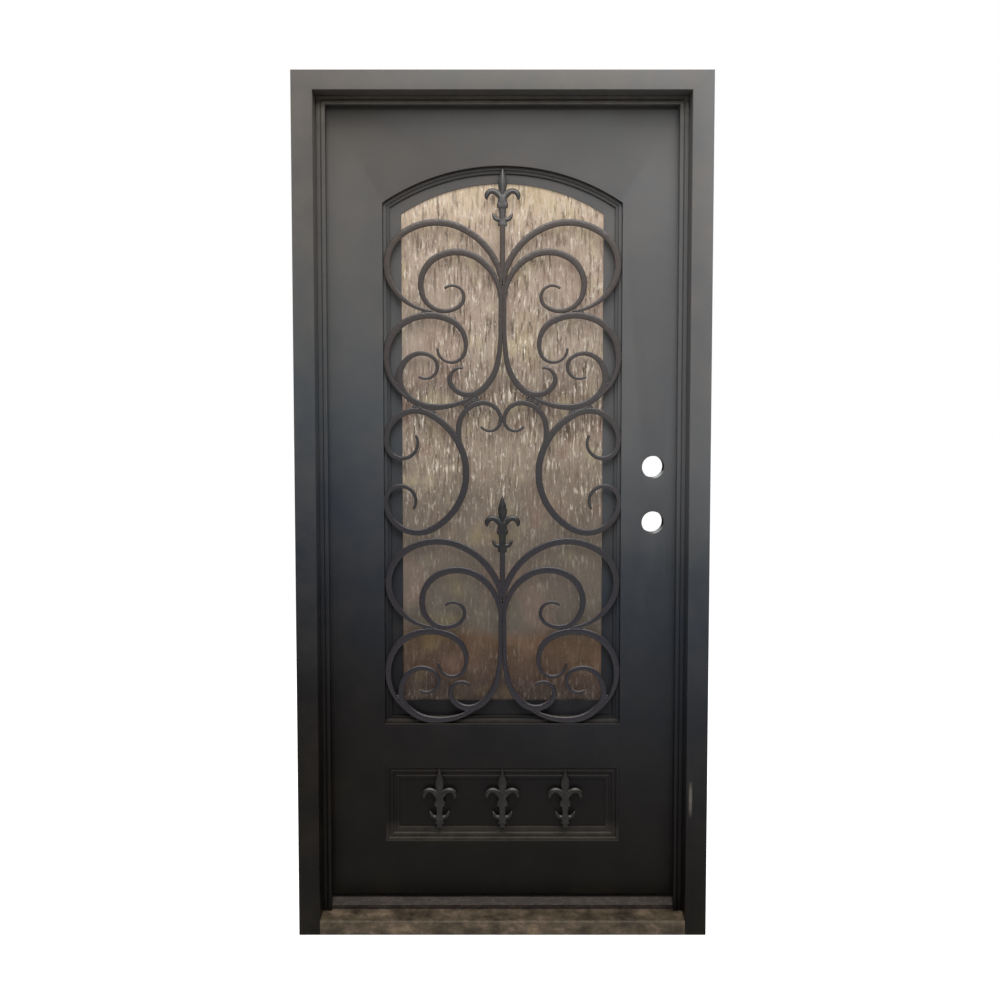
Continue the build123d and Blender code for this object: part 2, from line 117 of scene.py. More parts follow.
def tone(red, green, blue):
    """A colour as it looks on a screen, from 0 to 255, turned into scene light."""
    parts = [c / 255 for c in (red, green, blue)]
    return tuple(c / 12.92 if c <= 0.04045 else ((c + 0.055) / 1.055) ** 2.4 for c in parts)


def colour(name, words, shade):
    return bpy.props.FloatVectorProperty(name=name, description=words, subtype="COLOR", size=3, min=0, max=1,
                                         default=tone(*shade))


def length(name, words, millimetres):
    return bpy.props.FloatProperty(name=name, description=words, subtype="DISTANCE", unit="LENGTH", min=0,
                                   default=millimetres * MM)


def share(name, words, value):
    return bpy.props.FloatProperty(name=name, description=words, subtype="FACTOR", min=0, max=1, default=value)


class DoorPaint(bpy.types.PropertyGroup):
    """The baked bronze paint of the frame, leaf and ironwork."""
    # Head, waist and foot are stops of the paint's tone with painted light in it: lighter at the head, painted shade at
    # the foot.
    head: colour("Head", "Paint near the top of the door", (73, 70, 67))
    waist: colour("Waist", "Paint above the lock", (62, 65, 68))
    foot: colour("Foot", "Paint near the threshold", (15, 12, 9))
    # Dust also lightens up-facing surfaces, where it stands for settled dust together with painted light from above.
    dust: colour("Dust", "Dust that has settled on the paint", (122, 108, 90))
    gloss: share("Gloss", "How smooth the paint is, from matt to mirror", 0.55)
    grain: length("Grain", "Depth of the paint's orange peel", 0.05)


class DoorGlass(bpy.types.PropertyGroup):
    """The cast rain glass."""
    # Sky, honey and earth are stops of painted light: the colours seen through the glass, lightest at the arch.
    sky: colour("Sky", "Glass near the arch", (206, 184, 160))
    honey: colour("Honey", "Glass in the middle of the window", (170, 154, 140))
    earth: colour("Earth", "Glass near the bottom of the window", (92, 72, 55))
    runnel: length("Runnel", "Depth of the vertical runnels", 0.55)
    spacing: length("Spacing", "Distance between runnels", 7)


class DoorIronwork(bpy.types.PropertyGroup):
    """The forged bars and castings."""
    flat: length("Flat", "Longest step along a curve of a bar", 3.5)
    easing: share("Easing", "Rounding of a bar's edges, as a share of its width", 0.34)
    casting_grain: length("Casting grain", "Cell size that fuses a casting's parts", 1.2)


class DoorEdges(bpy.types.PropertyGroup):
    """Rounding left on sheet and section by the paint."""
    sheet: length("Sheet", "Radius on the folded sheet of frame and leaf", 1.4)
    section: length("Section", "Radius on rolled mouldings", 0.8)


class DoorStudio(bpy.types.PropertyGroup):
    """Soft studio light and the camera."""
    key: bpy.props.FloatProperty(name="Key", description="Power that each softbox gives its own share of",
                                 unit="POWER", default=128)
    sky: share("Sky", "Strength of the even light all round", 0.2)
    floor: share("Floor", "How bright the floor looks of itself", 0.92)
    camera_height: length("Camera height", "Height of the camera above the floor", 1341.4)
    camera_distance: length("Camera distance", "From the camera to the middle of the frame", 3639)
    camera_pitch: bpy.props.FloatProperty(name="Camera pitch", description="How far the camera looks down",
                                          subtype="ANGLE", unit="ROTATION", default=radians(4.46))


def settings(group):
    return getattr(bpy.context.scene, group)


class Reading:
    """A value on its way between nodes, with the sums that can be done on it."""

    def __init__(self, bench, socket):
        self.bench = bench
        self.socket = socket

    def sum(self, operation, *values):
        return self.bench.add("ShaderNodeMath", {"operation": operation}, dict(enumerate(values)))

    def __add__(self, other):
        return self.sum("ADD", self, other)

    __radd__ = __add__

    def __sub__(self, other):
        return self.sum("SUBTRACT", self, other)

    def __rsub__(self, other):
        return self.sum("SUBTRACT", other, self)

    def __mul__(self, other):
        return self.sum("MULTIPLY", self, other)

    __rmul__ = __mul__

    def __truediv__(self, other):
        return self.sum("DIVIDE", self, other)

    def __rtruediv__(self, other):
        return self.sum("DIVIDE", other, self)

    def unsigned(self):
        """The value without its sign."""
        return self.sum("ABSOLUTE", self)

    def other(self, name):
        """Another output of the same node."""
        return Reading(self.bench, pick(self.socket.node.outputs, name))


def pick(sockets, key):
    """A socket by its place, its identifier or its name."""
    if isinstance(key, int):
        return sockets[key]
    for socket in sockets:
        if socket.identifier == key:
            return socket
    return sockets[key]


class Bench:
    """Puts nodes into one tree and joins them up."""

    def __init__(self, tree, finish=None):
        self.tree = tree
        self.finish = finish

    def add(self, kind, options=(), inputs=(), output=0):
        """One node: its kind, its options, which are set first, and the values or links of its sockets."""
        node = self.tree.nodes.new(kind)
        for name, value in dict(options).items():
            if name == "stops":
                self.set_stops(node.color_ramp, value)
            else:
                setattr(node, name, value)
        for key, value in dict(inputs).items():
            self.join(value, pick(node.inputs, key))
        return Reading(self, pick(node.outputs, output)) if node.outputs else None

    def join(self, value, socket):
        if isinstance(value, Reading):
            self.tree.links.new(value.socket, socket)
        elif socket.type == "RGBA" and len(value) == 3:
            socket.default_value = (*value, 1)
        else:
            socket.default_value = value

    @staticmethod
    def set_stops(ramp, stops):
        for place, _ in stops[1:-1]:
            ramp.elements.new(place)
        for element, (place, shade) in zip(ramp.elements, stops):
            element.position = place
            element.color = (*shade, 1) if len(shade) == 3 else shade

    def ramp(self, value, *stops):
        """Colours or greys along a value."""
        spread = [(place, shade if isinstance(shade, tuple) else (shade,) * 3) for place, shade in stops]
        return self.add("ShaderNodeValToRGB", {"stops": spread}, {"Fac": value})

    def fade(self, value, start, end, first=0.0, last=1.0):
        """A mask that goes from its first level to its last while a value goes from start to end."""
        return self.ramp(value, (start, first), (end, last))

    def place(self, *scale):
        """Object coordinates, stretched by a scale along each axis."""
        point = self.add("ShaderNodeTexCoord", output="Object")
        return self.add("ShaderNodeMapping", {}, {"Vector": point, "Scale": scale}) if scale else point

    def cloud(self, scale, detail=3.0, roughness=0.5, stretch=(1, 1, 1)):
        """Smooth noise between 0 and 1, so many cells to the metre."""
        inputs = {"Vector": self.place(*stretch), "Scale": scale, "Detail": detail, "Roughness": roughness}
        return self.add("ShaderNodeTexNoise", {}, inputs, "Fac")

    def cells(self, scale, smoothness, *stretch):
        """Distance from the middles of soft round cells, so many to the metre."""
        inputs = {"Vector": self.place(*stretch), "Scale": scale, "Smoothness": smoothness}
        return self.add("ShaderNodeTexVoronoi", {"feature": "SMOOTH_F1"}, inputs, "Distance")

    def blend(self, mask, base, over):
        """One colour over another through a mask."""
        return self.add("ShaderNodeMix", {"data_type": "RGBA"},
                        {"Factor_Float": mask, "A_Color": base, "B_Color": over}, "Result_Color")

    def layers(self, shade, *more):
        """A colour with others laid over it in turn, each through its mask."""
        for mask, over in more:
            shade = self.blend(mask, shade, over)
        return shade

    def measure(self, axis, what="Object"):
        """A point's place along an axis of the door, in metres, or how far its surface faces along it."""
        return self.add("ShaderNodeSeparateXYZ", {}, {"Vector": self.add("ShaderNodeTexCoord", output=what)}, axis)

    def height(self):
        """Height above the floor as a share of the frame's."""
        return self.measure("Z") / frame_head

    def ledges(self, start=0.15, end=0.6):
        """A mask of what faces up and so holds dust and light."""
        return self.fade(self.measure("Z", "Normal"), start, end)

    def bump(self, relief, depth, below=None):
        inputs = {"Height": relief, "Strength": 1.0, "Distance": depth}
        if below:
            inputs["Normal"] = below
        return self.add("ShaderNodeBump", {}, inputs, "Normal")

    def coat(self, **values):
        """End in the shader that every finish ends in, and hand the finish over."""
        inputs = {name.replace("_", " "): value for name, value in values.items()}
        surface = self.add("ShaderNodeBsdfPrincipled", {}, inputs)
        self.add("ShaderNodeOutputMaterial", {}, {"Surface": surface})
        return self.finish


def bench_for(name):
    """The bench of a new and empty finish."""
    finish = bpy.data.materials.new(name)
    finish.use_nodes = True
    finish.node_tree.nodes.clear()
    return Bench(finish.node_tree, finish)


def paint_tone_and_painted_light(bench):
    """Brown-black at the foot, blue-grey at the waist and warm grey at the head, with slow clouds over all of it: the
    paint's own tone, with painted light that makes it lighter towards the head and painted shade that makes it darker
    towards the foot.

    It pales sooner and further towards the lock, which is painted light as well.
    """
    paint = settings("door_paint")
    # How much sooner the painted light pales the paint towards the lock.
    lock_side_lead = 0.155
    drift = (bench.cloud(2.2, 2, stretch=(1, 1, 0.6)) - 0.5) * 0.08
    across = bench.measure("X")
    up = bench.height() + drift + across * lock_side_lead
    shade = bench.ramp(up, (0.1, tuple(paint.foot)), (0.2, tone(21, 19, 20)), (0.33, tone(35, 37, 41)),
                       (0.445, tone(46, 50, 56)), (0.56, tuple(paint.waist)), (0.68, tone(71, 71, 71)),
                       (0.86, tuple(paint.head)), (0.93, tuple(paint.head)), (1.0, tone(64, 61, 56)))
    # Painted light: above the waist the lock side is lightened towards tone 90, 91, 93.
    lock_side = bench.fade(across + 0.5, 0.1, 0.9) * bench.fade(up, 0.5, 0.62)
    return bench.blend(lock_side * 0.6, shade, tone(90, 91, 93))


# For each bronze paint, how dusty it is, the depth of its slow waves, its hollows and its lit patch. Hollows are two
# depths between which the metal turns away from the light and is darkened with painted shade, and how much. A lit patch
# is painted light: its middle, across and up, half its width, half its height and how pale it is painted.
bronze_paints = {
    "leaf": (0.1, 0.4 * MM, (leaf_front + 0.8 * MM, leaf_back - 0.8 * MM, 0.6), None),
    "frame": (0.18, 0.4 * MM, None, (455 * MM, 337 * MM, 5 * MM, 46 * MM, 0.34)),
    "moulding": (0.12, 0.1 * MM, None, (0, lowest("kick_moulding_rails").z + 12 * MM, 600 * MM, 40 * MM, 0.075)),
    "stop": (0.12, 0.1 * MM, (stop_face + 3 * MM, stop_back + 60 * MM, 0.15),
             (0, lowest("stop_head").z + 10 * MM, 1.3, 60 * MM, 0.3)),
    "trim": (0.12, 0.1 * MM, (trim_face + 1 * MM, trim_back + 30 * MM, 0.34),
             (0, lowest("window_trim_bottom").z + 2 * MM, 600 * MM, 9 * MM, 0.12)),
    "sash": (0.14, 0.1 * MM, (sash_face + 0.5 * MM, leaf_back - 1 * MM, 0.5), None),
}


@cache
def bronze_paint(part):
    """Baked bronze paint on sheet or section, with dust, fine orange peel and faint rub marks, painted shade in its
    hollows and painted light on its lit patch.
    """
    dusty, wave, hollows, lit = bronze_paints[part]
    paint = settings("door_paint")
    dust = tuple(paint.dust)
    bench = bench_for(part + "_bronze_paint")
    patches = bench.fade(bench.cloud(9, 6, 0.62), 0.42, 0.78) * bench.fade(bench.height(), 0.2, 0.8, 0.25)
    streaks = bench.fade(bench.cloud(3, 4, 0.5, (26, 26, 1.3)), 0.66, 0.74)
    rubs = streaks * bench.fade(bench.cloud(1.6, 1), 0.55, 0.7)
    # Up-facing surfaces take the dust colour: settled dust together with painted light from above.
    shade = bench.layers(paint_tone_and_painted_light(bench), (patches * dusty, dust), (rubs * 0.14, tone(128, 124, 118)),
                         (bench.ledges() * 0.14, dust))
    if hollows:
        start, end, recess_shade = hollows
        # Painted shade: between the two depths the colour is darkened towards tone 14, 12, 12.
        depth = (bench.measure("Y") - start) / (end - start)
        deep = bench.ramp(depth, (0.0, 0.0), (0.12, 1.0), (0.88, 1.0), (1.0, 0.0))
        shade = bench.blend(deep * recess_shade, shade, tone(14, 12, 12))
    # Painted light: a broken pale patch of tone 150, 142, 130 on front faces, where light falls brighter.
    if lit:
        x, z, wide, tall, strength = lit
        away = ((bench.measure("X") - x) / wide, (bench.measure("Z") - z) / tall)
        near, level = (bench.fade(reach.unsigned(), 0.4, 1.0, 1.0, 0.0) for reach in away)
        broken = bench.fade(bench.cloud(30, 4, 0.6), 0.35, 0.6, 0.55)
        outside = bench.fade(-1 * bench.measure("Y", "Normal"), 0.1, 0.3)
        shade = bench.blend(near * level * broken * outside * strength, shade, tone(150, 142, 130))
    normal = bench.bump(bench.cloud(14, 2, 0.4), wave, bench.bump(bench.cloud(650, 2, 0.6), paint.grain))
    rough = 1 - paint.gloss + (patches - 0.5) * 0.16
    return bench.coat(Base_Color=shade, Roughness=rough, Normal=normal, Specular_IOR_Level=0.16)


@cache
def forged_paint():
    """The same paint over hammer-dressed bar, browner and darker, with painted highlights on its upper edges low on the
    door.
    """
    bench = bench_for("forged_bar_paint")
    wear = bench.fade(bench.cloud(26, 5, 0.6), 0.46, 0.74)
    # Browner towards the head: the bars' own tone together with painted warm light from the glass behind them.
    brown = bench.ramp(bench.height(), (0.3, tone(42, 38, 44)), (0.55, tone(46, 39, 38)), (0.85, tone(52, 39, 31)))
    # Painted highlights on up-facing edges, strongest low on the door.
    painted_highlight_rims = bench.ledges(0.5, 0.95) * bench.fade(bench.height(), 0.3, 0.5, 0.36, 0.12)
    shade = bench.layers(paint_tone_and_painted_light(bench), (wear * 0.2 + 0.6, brown), (painted_highlight_rims, tone(150, 142, 138)))
    normal = bench.bump(bench.cells(95.0, 0.8), 0.35 * MM, bench.bump(bench.cloud(420, 3, 0.6), 0.05 * MM))
    return bench.coat(Base_Color=shade, Roughness=0.34 + (wear - 0.5) * 0.14, Normal=normal, Specular_IOR_Level=0.36)


@cache
def cast_paint():
    """Paint over a sand casting: a dark coarse skin with a little pale dust, painted shade that darkens it, most of all
    low on the door, and painted highlights on what faces up.
    """
    bench = bench_for("cast_fleur_paint")
    skin = bench.cloud(330, 5, 0.7)
    dust = bench.fade(bench.cloud(60, 4, 0.6), 0.44, 0.7)
    # Painted highlights on up-facing edges, strongest low on the door.
    painted_highlight_rims = bench.ledges(0.3, 0.9) * bench.fade(bench.height(), 0.3, 0.5, 0.34, 0.1)
    # Painted shade: darkened towards tone 17, 14, 12, most of all low on the door.
    shade = bench.layers(paint_tone_and_painted_light(bench), (bench.fade(bench.height(), 0.3, 0.7, 0.92, 0.6), tone(17, 14, 12)),
                         (dust * 0.1, tone(100, 90, 80)), (painted_highlight_rims, tone(126, 118, 108)))
    return bench.coat(Base_Color=shade, Roughness=0.4 + (skin - 0.5) * 0.2, Normal=bench.bump(skin, 0.12 * MM),
                      Specular_IOR_Level=0.45)


@cache
def sill_finish():
    """Brown painted threshold under dried mud and trodden dust, darker on the ledge behind its step."""
    bench = bench_for("worn_sill_paint")
    slabs = bench.cloud(26, 5, 0.62, (0.7, 0.5, 1.1))
    mottled = bench.ramp(slabs, (0.32, tone(42, 37, 26)), (0.43, tone(62, 51, 41)), (0.5, tone(76, 67, 49)),
                         (0.56, tone(88, 73, 62)), (0.68, tone(122, 106, 84)))
    behind = bench.fade((bench.measure("Y") - sill_step + 2 * MM) / (20 * MM), 0.0, 0.06)
    ledge = bench.ramp(slabs, (0.35, tone(31, 23, 19)), (0.65, tone(47, 38, 33)))
    grit = bench.cloud(160, 5, 0.7)
    veins = bench.ramp(bench.cloud(16, 6, 0.7, (1, 1, 3)), (0.47, 0.0), (0.5, 1.0), (0.53, 0.0))
    shade = bench.layers(mottled, (behind, ledge), (veins * 0.2, tone(110, 100, 84)),
                         ((grit - 0.4) * 0.5, tone(34, 27, 22)))
    normal = bench.bump(grit, 0.18 * MM, bench.bump(slabs, 1.2 * MM))
    return bench.coat(Base_Color=shade, Roughness=0.62 + (slabs - 0.5) * 0.3, Normal=normal, Specular_IOR_Level=0.3)


@cache
def seal_rubber():
    """Matt black seal with a faint bloom."""
    bench = bench_for("seal_rubber_black")
    bloom = bench.cloud(70, 4)
    shade = bench.blend(bloom * 0.4, tone(20, 20, 21), tone(44, 43, 42))
    return bench.coat(Base_Color=shade, Roughness=0.72 + bloom * 0.15, Normal=bench.bump(bloom, 0.06 * MM))


@cache
def rain_glass_finish():
    """Cast rain glass broken into runnels and drops, its colour painted light: the warm colours seen through it,
    lighter towards the arch, with painted glints and a glow that stands in for light coming through.
    """
    glass = settings("door_glass")
    bench = bench_for("rain_glass_amber")
    low, high = (corner.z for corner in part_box("rain_glass"))
    up = (bench.measure("Z") - low) / (high - low)
    drift = (bench.cloud(5, 4, 0.6, (1, 1, 0.8)) - 0.5) * 0.09
    # Painted light: what shows through the glass and what it reflects, lighter towards the arch and darker at the
    # bottom.
    behind = bench.ramp(up + drift, (0.02, tone(62, 49, 44)), (0.125, tuple(glass.earth)),
                        (0.15, tone(92, 85, 76)), (0.28, tone(112, 102, 92)), (0.39, tone(124, 112, 100)),
                        (0.49, tone(156, 141, 126)), (0.585, tone(138, 122, 109)), (0.68, tuple(glass.honey)),
                        (0.78, tone(174, 156, 140)), (0.88, tone(176, 156, 138)), (0.96, tuple(glass.sky)))
    blooms = bench.cloud(6, 3, 0.5, (1.2, 1, 1))
    hues = bench.cloud(15, 3, 0.55, (1.4, 1, 1))
    crisp = bench.ramp(up, (0.2, 0.12), (0.34, 0.3), (0.44, 0.85), (0.5, 1.0))
    broken = crisp * bench.fade(bench.cloud(11, 3, 0.6, (1.3, 1, 0.8)), 0.36, 0.6, 0.35)
    # These layers vary the painted light seen through the glass; the white marks are painted glints.
    shade = bench.layers(behind, (bench.fade(blooms, 0.56, 0.7) * 0.28, tone(170, 150, 92)),
                         (bench.fade(blooms, 0.3, 0.44, 1.0, 0.0) * 0.22, tone(168, 132, 118)),
                         (bench.fade(hues, 0.55, 0.66) * crisp * 0.3, tone(200, 188, 148)),
                         (bench.fade(hues, 0.34, 0.45, 1.0, 0.0) * crisp * 0.3, tone(132, 98, 84)),
                         (upright_marks(bench, 7.0, 52, 0.49) * broken * 0.8, tone(80, 66, 54)),
                         (upright_marks(bench, 6.4, 34, 0.55, 3) * broken * 0.9, tone(238, 226, 208)),
                         (upright_marks(bench, 5.2, 13, 0.61, 8) * broken * 0.9, tone(255, 250, 242)))
    # The base colour is darkened and part of the colour given back as a glow: painted light standing in for light
    # coming through the glass.
    shine, glow = (bench.blend(dark, shade, tone(0, 0, 0)) for dark in (0.62, 0.35))
    drops = bench.cells(210.0, 0.6, 1, 1, 0.42)
    normal = bench.bump(drops, 0.6 * MM, bench.bump(bench.cloud(160, 3, 0.6, (1, 1, 0.14)), 1.0 * MM))
    return bench.coat(Base_Color=shine, Roughness=0.2 + drops * 0.2, Normal=normal, Alpha=0.97, IOR=1.5,
                      Specular_IOR_Level=0.3, Emission_Color=glow, Emission_Strength=0.75)


def upright_marks(bench, wide, tall, cut, turn=0):
    """A mask of short broken upright marks, so many millimetres wide and tall, that starts at a level of noise."""
    point = bench.add("ShaderNodeMapping", {}, {"Vector": bench.place(), "Location": (turn, turn, turn),
                                                "Scale": (1 / wide / MM, 1, 1 / tall / MM)})
    marks = bench.add("ShaderNodeTexNoise", {}, {"Vector": point, "Scale": 1.0, "Detail": 3.0, "Roughness": 0.6}, "Fac")
    return bench.fade(marks, cut, cut + 0.12)


@cache
def clear_glass_finish():
    """The plain inner pane, under a breath of dust."""
    bench = bench_for("clear_glass_pane")
    film = bench.cloud(4, 5, 0.6)
    shade = bench.blend(film * 0.4, tone(196, 202, 198), tone(224, 222, 214))
    return bench.coat(Base_Color=shade, Roughness=0.04 + film * 0.08, Alpha=0.12 + film * 0.06, IOR=1.5,
                      Specular_IOR_Level=0.7)


@cache
def spacer_finish():
    """Rolled aluminium spacer."""
    bench = bench_for("spacer_rolled_aluminium")
    roll = bench.cloud(40, 4, 0.5, (1, 1, 8))
    shade = bench.blend(roll, tone(126, 126, 124), tone(168, 168, 166))
    return bench.coat(Base_Color=shade, Metallic=0.9, Roughness=0.34 + roll * 0.14, Normal=bench.bump(roll, 0.05 * MM))


@cache
def bare_steel():
    """Oiled steel of the sash's screws."""
    bench = bench_for("oiled_pin_steel")
    turned_marks = bench.cloud(60, 3, 0.6, (1, 1, 14))
    shade = bench.blend(turned_marks, tone(78, 76, 72), tone(136, 132, 126))
    return bench.coat(Base_Color=shade, Metallic=0.85, Roughness=0.3 + turned_marks * 0.18,
                      Normal=bench.bump(turned_marks, 0.03 * MM))


@cache
def plain_floor():
    """Pale seamless studio floor that meets the white wall unseen. What it adds for that doesn't light the door."""
    bench = bench_for("studio_floor")
    shade = bench.blend(bench.cloud(3, 3), tone(214, 213, 211), tone(220, 219, 217))
    seen = bench.add("ShaderNodeLightPath", output="Is Camera Ray")
    return bench.coat(Base_Color=shade, Roughness=0.8, Specular_IOR_Level=0.0, Emission_Color=(1, 0.995, 0.985),
                      Emission_Strength=seen * settings("door_studio").floor)


def linked(name, data):
    """A new object in the scene."""
    made = bpy.data.objects.new(name, data)
    bpy.context.scene.collection.objects.link(made)
    return made


def applied(blank):
    """The plain mesh that an object's modifiers make. The object itself goes."""
    bpy.context.view_layer.update()
    ready = blank.evaluated_get(bpy.context.evaluated_depsgraph_get())
    made = bpy.data.meshes.new_from_object(ready)
    bpy.data.objects.remove(blank)
    return made


def in_mesh(name, verts, faces):
    """A closed mesh with its faces turned outwards."""
    mesh = bpy.data.meshes.new(name)
    mesh.from_pydata([tuple(v) for v in verts], [], faces)
    work = bmesh.new()
    work.from_mesh(mesh)
    bmesh.ops.remove_doubles(work, verts=work.verts, dist=0.01 * MM)
    bmesh.ops.recalc_face_normals(work, faces=work.faces)
    work.to_mesh(mesh)
    work.free()
    return mesh


def shaded(mesh, crease=35):
    """Smooth shading, kept crisp at corners sharper than the crease."""
    mesh.shade_smooth()
    mesh.set_sharp_from_angle(angle=radians(crease))
    return mesh


def painted(mesh, finish):
    """Give a mesh its one finish."""
    mesh.materials.clear()
    mesh.materials.append(finish)


def fitted(name, mesh, finish, *nodes, body="leaf", slot="bronze_iron"):
    """Put a mesh on the door as a named piece, in place of the nodes that it stands for."""
    mesh.name = name
    painted(mesh, finish)
    piece = linked(name, mesh)
    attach(piece, body)
    if nodes:
        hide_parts(*nodes)


def repaint(finish, *nodes):
    """Give nodes of the frame their finish."""
    for node in nodes:
        painted(frame["nodes"][node].data, finish)


def eased(corners, radius, steps=3):
    """A closed outline with each corner rounded, or its whole side where that is shorter."""
    points = []
    for index, corner in enumerate(corners):
        here = Vector(corner)
        before = Vector(corners[index - 1]) - here
        after = Vector(corners[(index + 1) % len(corners)]) - here
        half = before.angle(after) / 2
        reach = min(radius, 0.45 * before.length, 0.45 * after.length)
        if abs(half - pi / 2) < 0.02:
            points.append(here)
            continue
        start = here + before.normalized() * reach
        end = here + after.normalized() * reach
        for step in range(steps + 1):
            share_along = step / steps
            keep = (1 - share_along) ** 2
            pull = 2 * share_along * (1 - share_along)
            points.append(start * keep + here * pull + end * share_along ** 2)
    return points


def bridged(loops, closed, section_closed=True):
    """Faces between neighbouring loops of as many points each.

    The loops are closed or have two ends, and the last is joined to the first where the section is closed.
    """
    count = len(loops[0])
    verts = [point for loop in loops for point in loop]
    faces = []
    for row in range(len(loops) if section_closed else len(loops) - 1):
        below = row * count
        above = (row + 1) % len(loops) * count
        for place in range(count if closed else count - 1):
            beside = (place + 1) % count
            faces.append((below + place, below + beside, above + beside, above + place))
    if not closed and section_closed:
        faces.append([row * count for row in range(len(loops))])
        faces.append([row * count + count - 1 for row in range(len(loops))][::-1])
    return verts, faces


def capped(loops):
    """Closed loops of as many points each, bridged, with both ends shut."""
    count = len(loops[0])
    verts, faces = bridged(loops, True, section_closed=False)
    return verts, faces + [list(range(count))[::-1], list(range(len(verts) - count, len(verts)))]


def stepped(face, *corners):
    """A section's corners from their insets and their setbacks from a face, in millimetres."""
    return [(inset * MM, face + setback * MM) for inset, setback in corners]


def moulding(name, outline, profile, closed=True):
    """A section run round an outline with mitred corners. The section is a list of (inset, depth) points."""
    loops = [[(x, depth, z) for x, z in outline(inset)] for inset, depth in profile]
    return shaded(in_mesh(name, *bridged(loops, closed)))


def box_outline(half, foot, head):
    """The outline of an upright rectangle that shrinks by an inset."""
    def inset_by(u):
        return [(-half + u, foot + u), (half - u, foot + u), (half - u, head - u), (-half + u, head - u)]
    return inset_by


def arch_over(u, inside):
    """The arch at an inset from the window's edge: its half width, radius and centre. It is taller inside the sash."""
    half = half_window - u
    radius = arch_radius - u
    relief = sash_relief if inside else 0
    rise = radius - sqrt(radius ** 2 - half ** 2) + relief
    crown = arch_centre + radius + relief
    radius = (half ** 2 + rise ** 2) / (2 * rise)
    return half, radius, crown - radius


def arched_outline(inside_from=1.0, steps=44):
    """The window's outline. Insets past inside_from follow the sash, which is wider below and slimmer at its crown."""
    def inset_by(u):
        half, radius, centre = arch_over(u, u > inside_from)
        foot = window_foot + u + (sash_lift if u > inside_from else 0)
        swing = asin(half / radius)
        turns = [swing - 2 * swing * step / steps for step in range(steps + 1)]
        arch = [(radius * sin(turn), centre + radius * cos(turn)) for turn in turns]
        return [(-half, foot), (half, foot)] + arch
    return inset_by


def round_hole(x, z, radius, steps=56):
    """The outline of a bore, which grows by an inset."""
    def inset_by(u):
        return [(x + (radius + u) * cos(2 * pi * step / steps), z + (radius + u) * sin(2 * pi * step / steps))
                for step in range(steps)]
    return inset_by


def grown(outline):
    """The same outline seen from the metal round a hole, so that an inset moves it outwards."""
    return lambda u: outline(-u)


def sheet_shell(name, outlines, front, back, edge):
    """A closed box of folded sheet with eased edges, from its outer outline and its holes."""
    steps = 3
    quarter = [radians(90 * step / steps) for step in range(steps + 1)]
    painted_highlight_rims = [(edge * (1 - sin(turn)), front + edge * (1 - cos(turn))) for turn in quarter]
    painted_highlight_rims += [(edge * (1 - cos(turn)), back - edge * (1 - sin(turn))) for turn in quarter]
    work = bmesh.new()
    ends = {front: [], back: []}
    for outline in outlines:
        loops = []
        for inset, depth in painted_highlight_rims:
            loops.append([work.verts.new((x, depth, z)) for x, z in outline(inset)])
        for near, far in zip(loops, loops[1:]):
            for place in range(len(near)):
                beside = (place + 1) % len(near)
                work.faces.new((near[place], near[beside], far[beside], far[place]))
        for depth, loop in ((front, loops[0]), (back, loops[-1])):
            ends[depth] += [work.edges.get((loop[place - 1], loop[place])) for place in range(len(loop))]
    for edges in ends.values():
        bmesh.ops.triangle_fill(work, use_beauty=True, use_dissolve=False, edges=edges)
    bmesh.ops.recalc_face_normals(work, faces=work.faces)
    mesh = bpy.data.meshes.new(name)
    work.to_mesh(mesh)
    work.free()
    return shaded(mesh, 40)


def turned(profile, start=(0, 0, 0), turn=Matrix.Identity(3), steps=40):
    """Vertices and faces of a profile of radii and heights in millimetres, spun about an axis."""
    angles = [2 * pi * step / steps for step in range(steps)]
    loops = [[Vector(start) + turn @ Vector((radius * MM * cos(angle), radius * MM * sin(angle), height * MM))
              for angle in angles] for radius, height in profile]
    return bridged(loops, True, section_closed=False)


def gathered(name, parts, crease=35):
    """Several lots of vertices and faces as one mesh."""
    verts = []
    faces = []
    for more_verts, more_faces in parts:
        faces += [[index + len(verts) for index in face] for face in more_faces]
        verts += more_verts
    return shaded(in_mesh(name, verts, faces), crease)


def worked(name, mesh, group, **inputs):
    """Run a mesh through a geometry tree and hand back the plain mesh."""
    blank = linked(name, mesh)
    modifier = blank.modifiers.new("work", "NODES")
    modifier.node_group = group
    for item in group.interface.items_tree:
        key = item.name.lower().replace(" ", "_")
        if item.in_out == "INPUT" and key in inputs:
            modifier[item.identifier] = inputs[key]
    return applied(blank)


def new_tree(name, sockets):
    """A geometry tree with its geometry in and out and its named inputs."""
    tree = bpy.data.node_groups.new(name, "GeometryNodeTree")
    tree.interface.new_socket("Geometry", in_out="INPUT", socket_type="NodeSocketGeometry")
    tree.interface.new_socket("Geometry", in_out="OUTPUT", socket_type="NodeSocketGeometry")
    for label, kind, default in sockets:
        socket = tree.interface.new_socket(label, in_out="INPUT", socket_type=f"NodeSocket{kind}")
        if default is not None:
            socket.default_value = default
    bench = Bench(tree)
    given = bench.add("NodeGroupInput")
    return tree, bench, given


def close_tree(bench, shape, given):
    """End a tree in real geometry with its finish."""
    real = bench.add("GeometryNodeRealizeInstances", {}, {"Geometry": shape})
    painted = bench.add("GeometryNodeSetMaterial", {}, {"Geometry": real, "Material": given.other("Finish")})
    bench.add("NodeGroupOutput", {}, {"Geometry": painted})


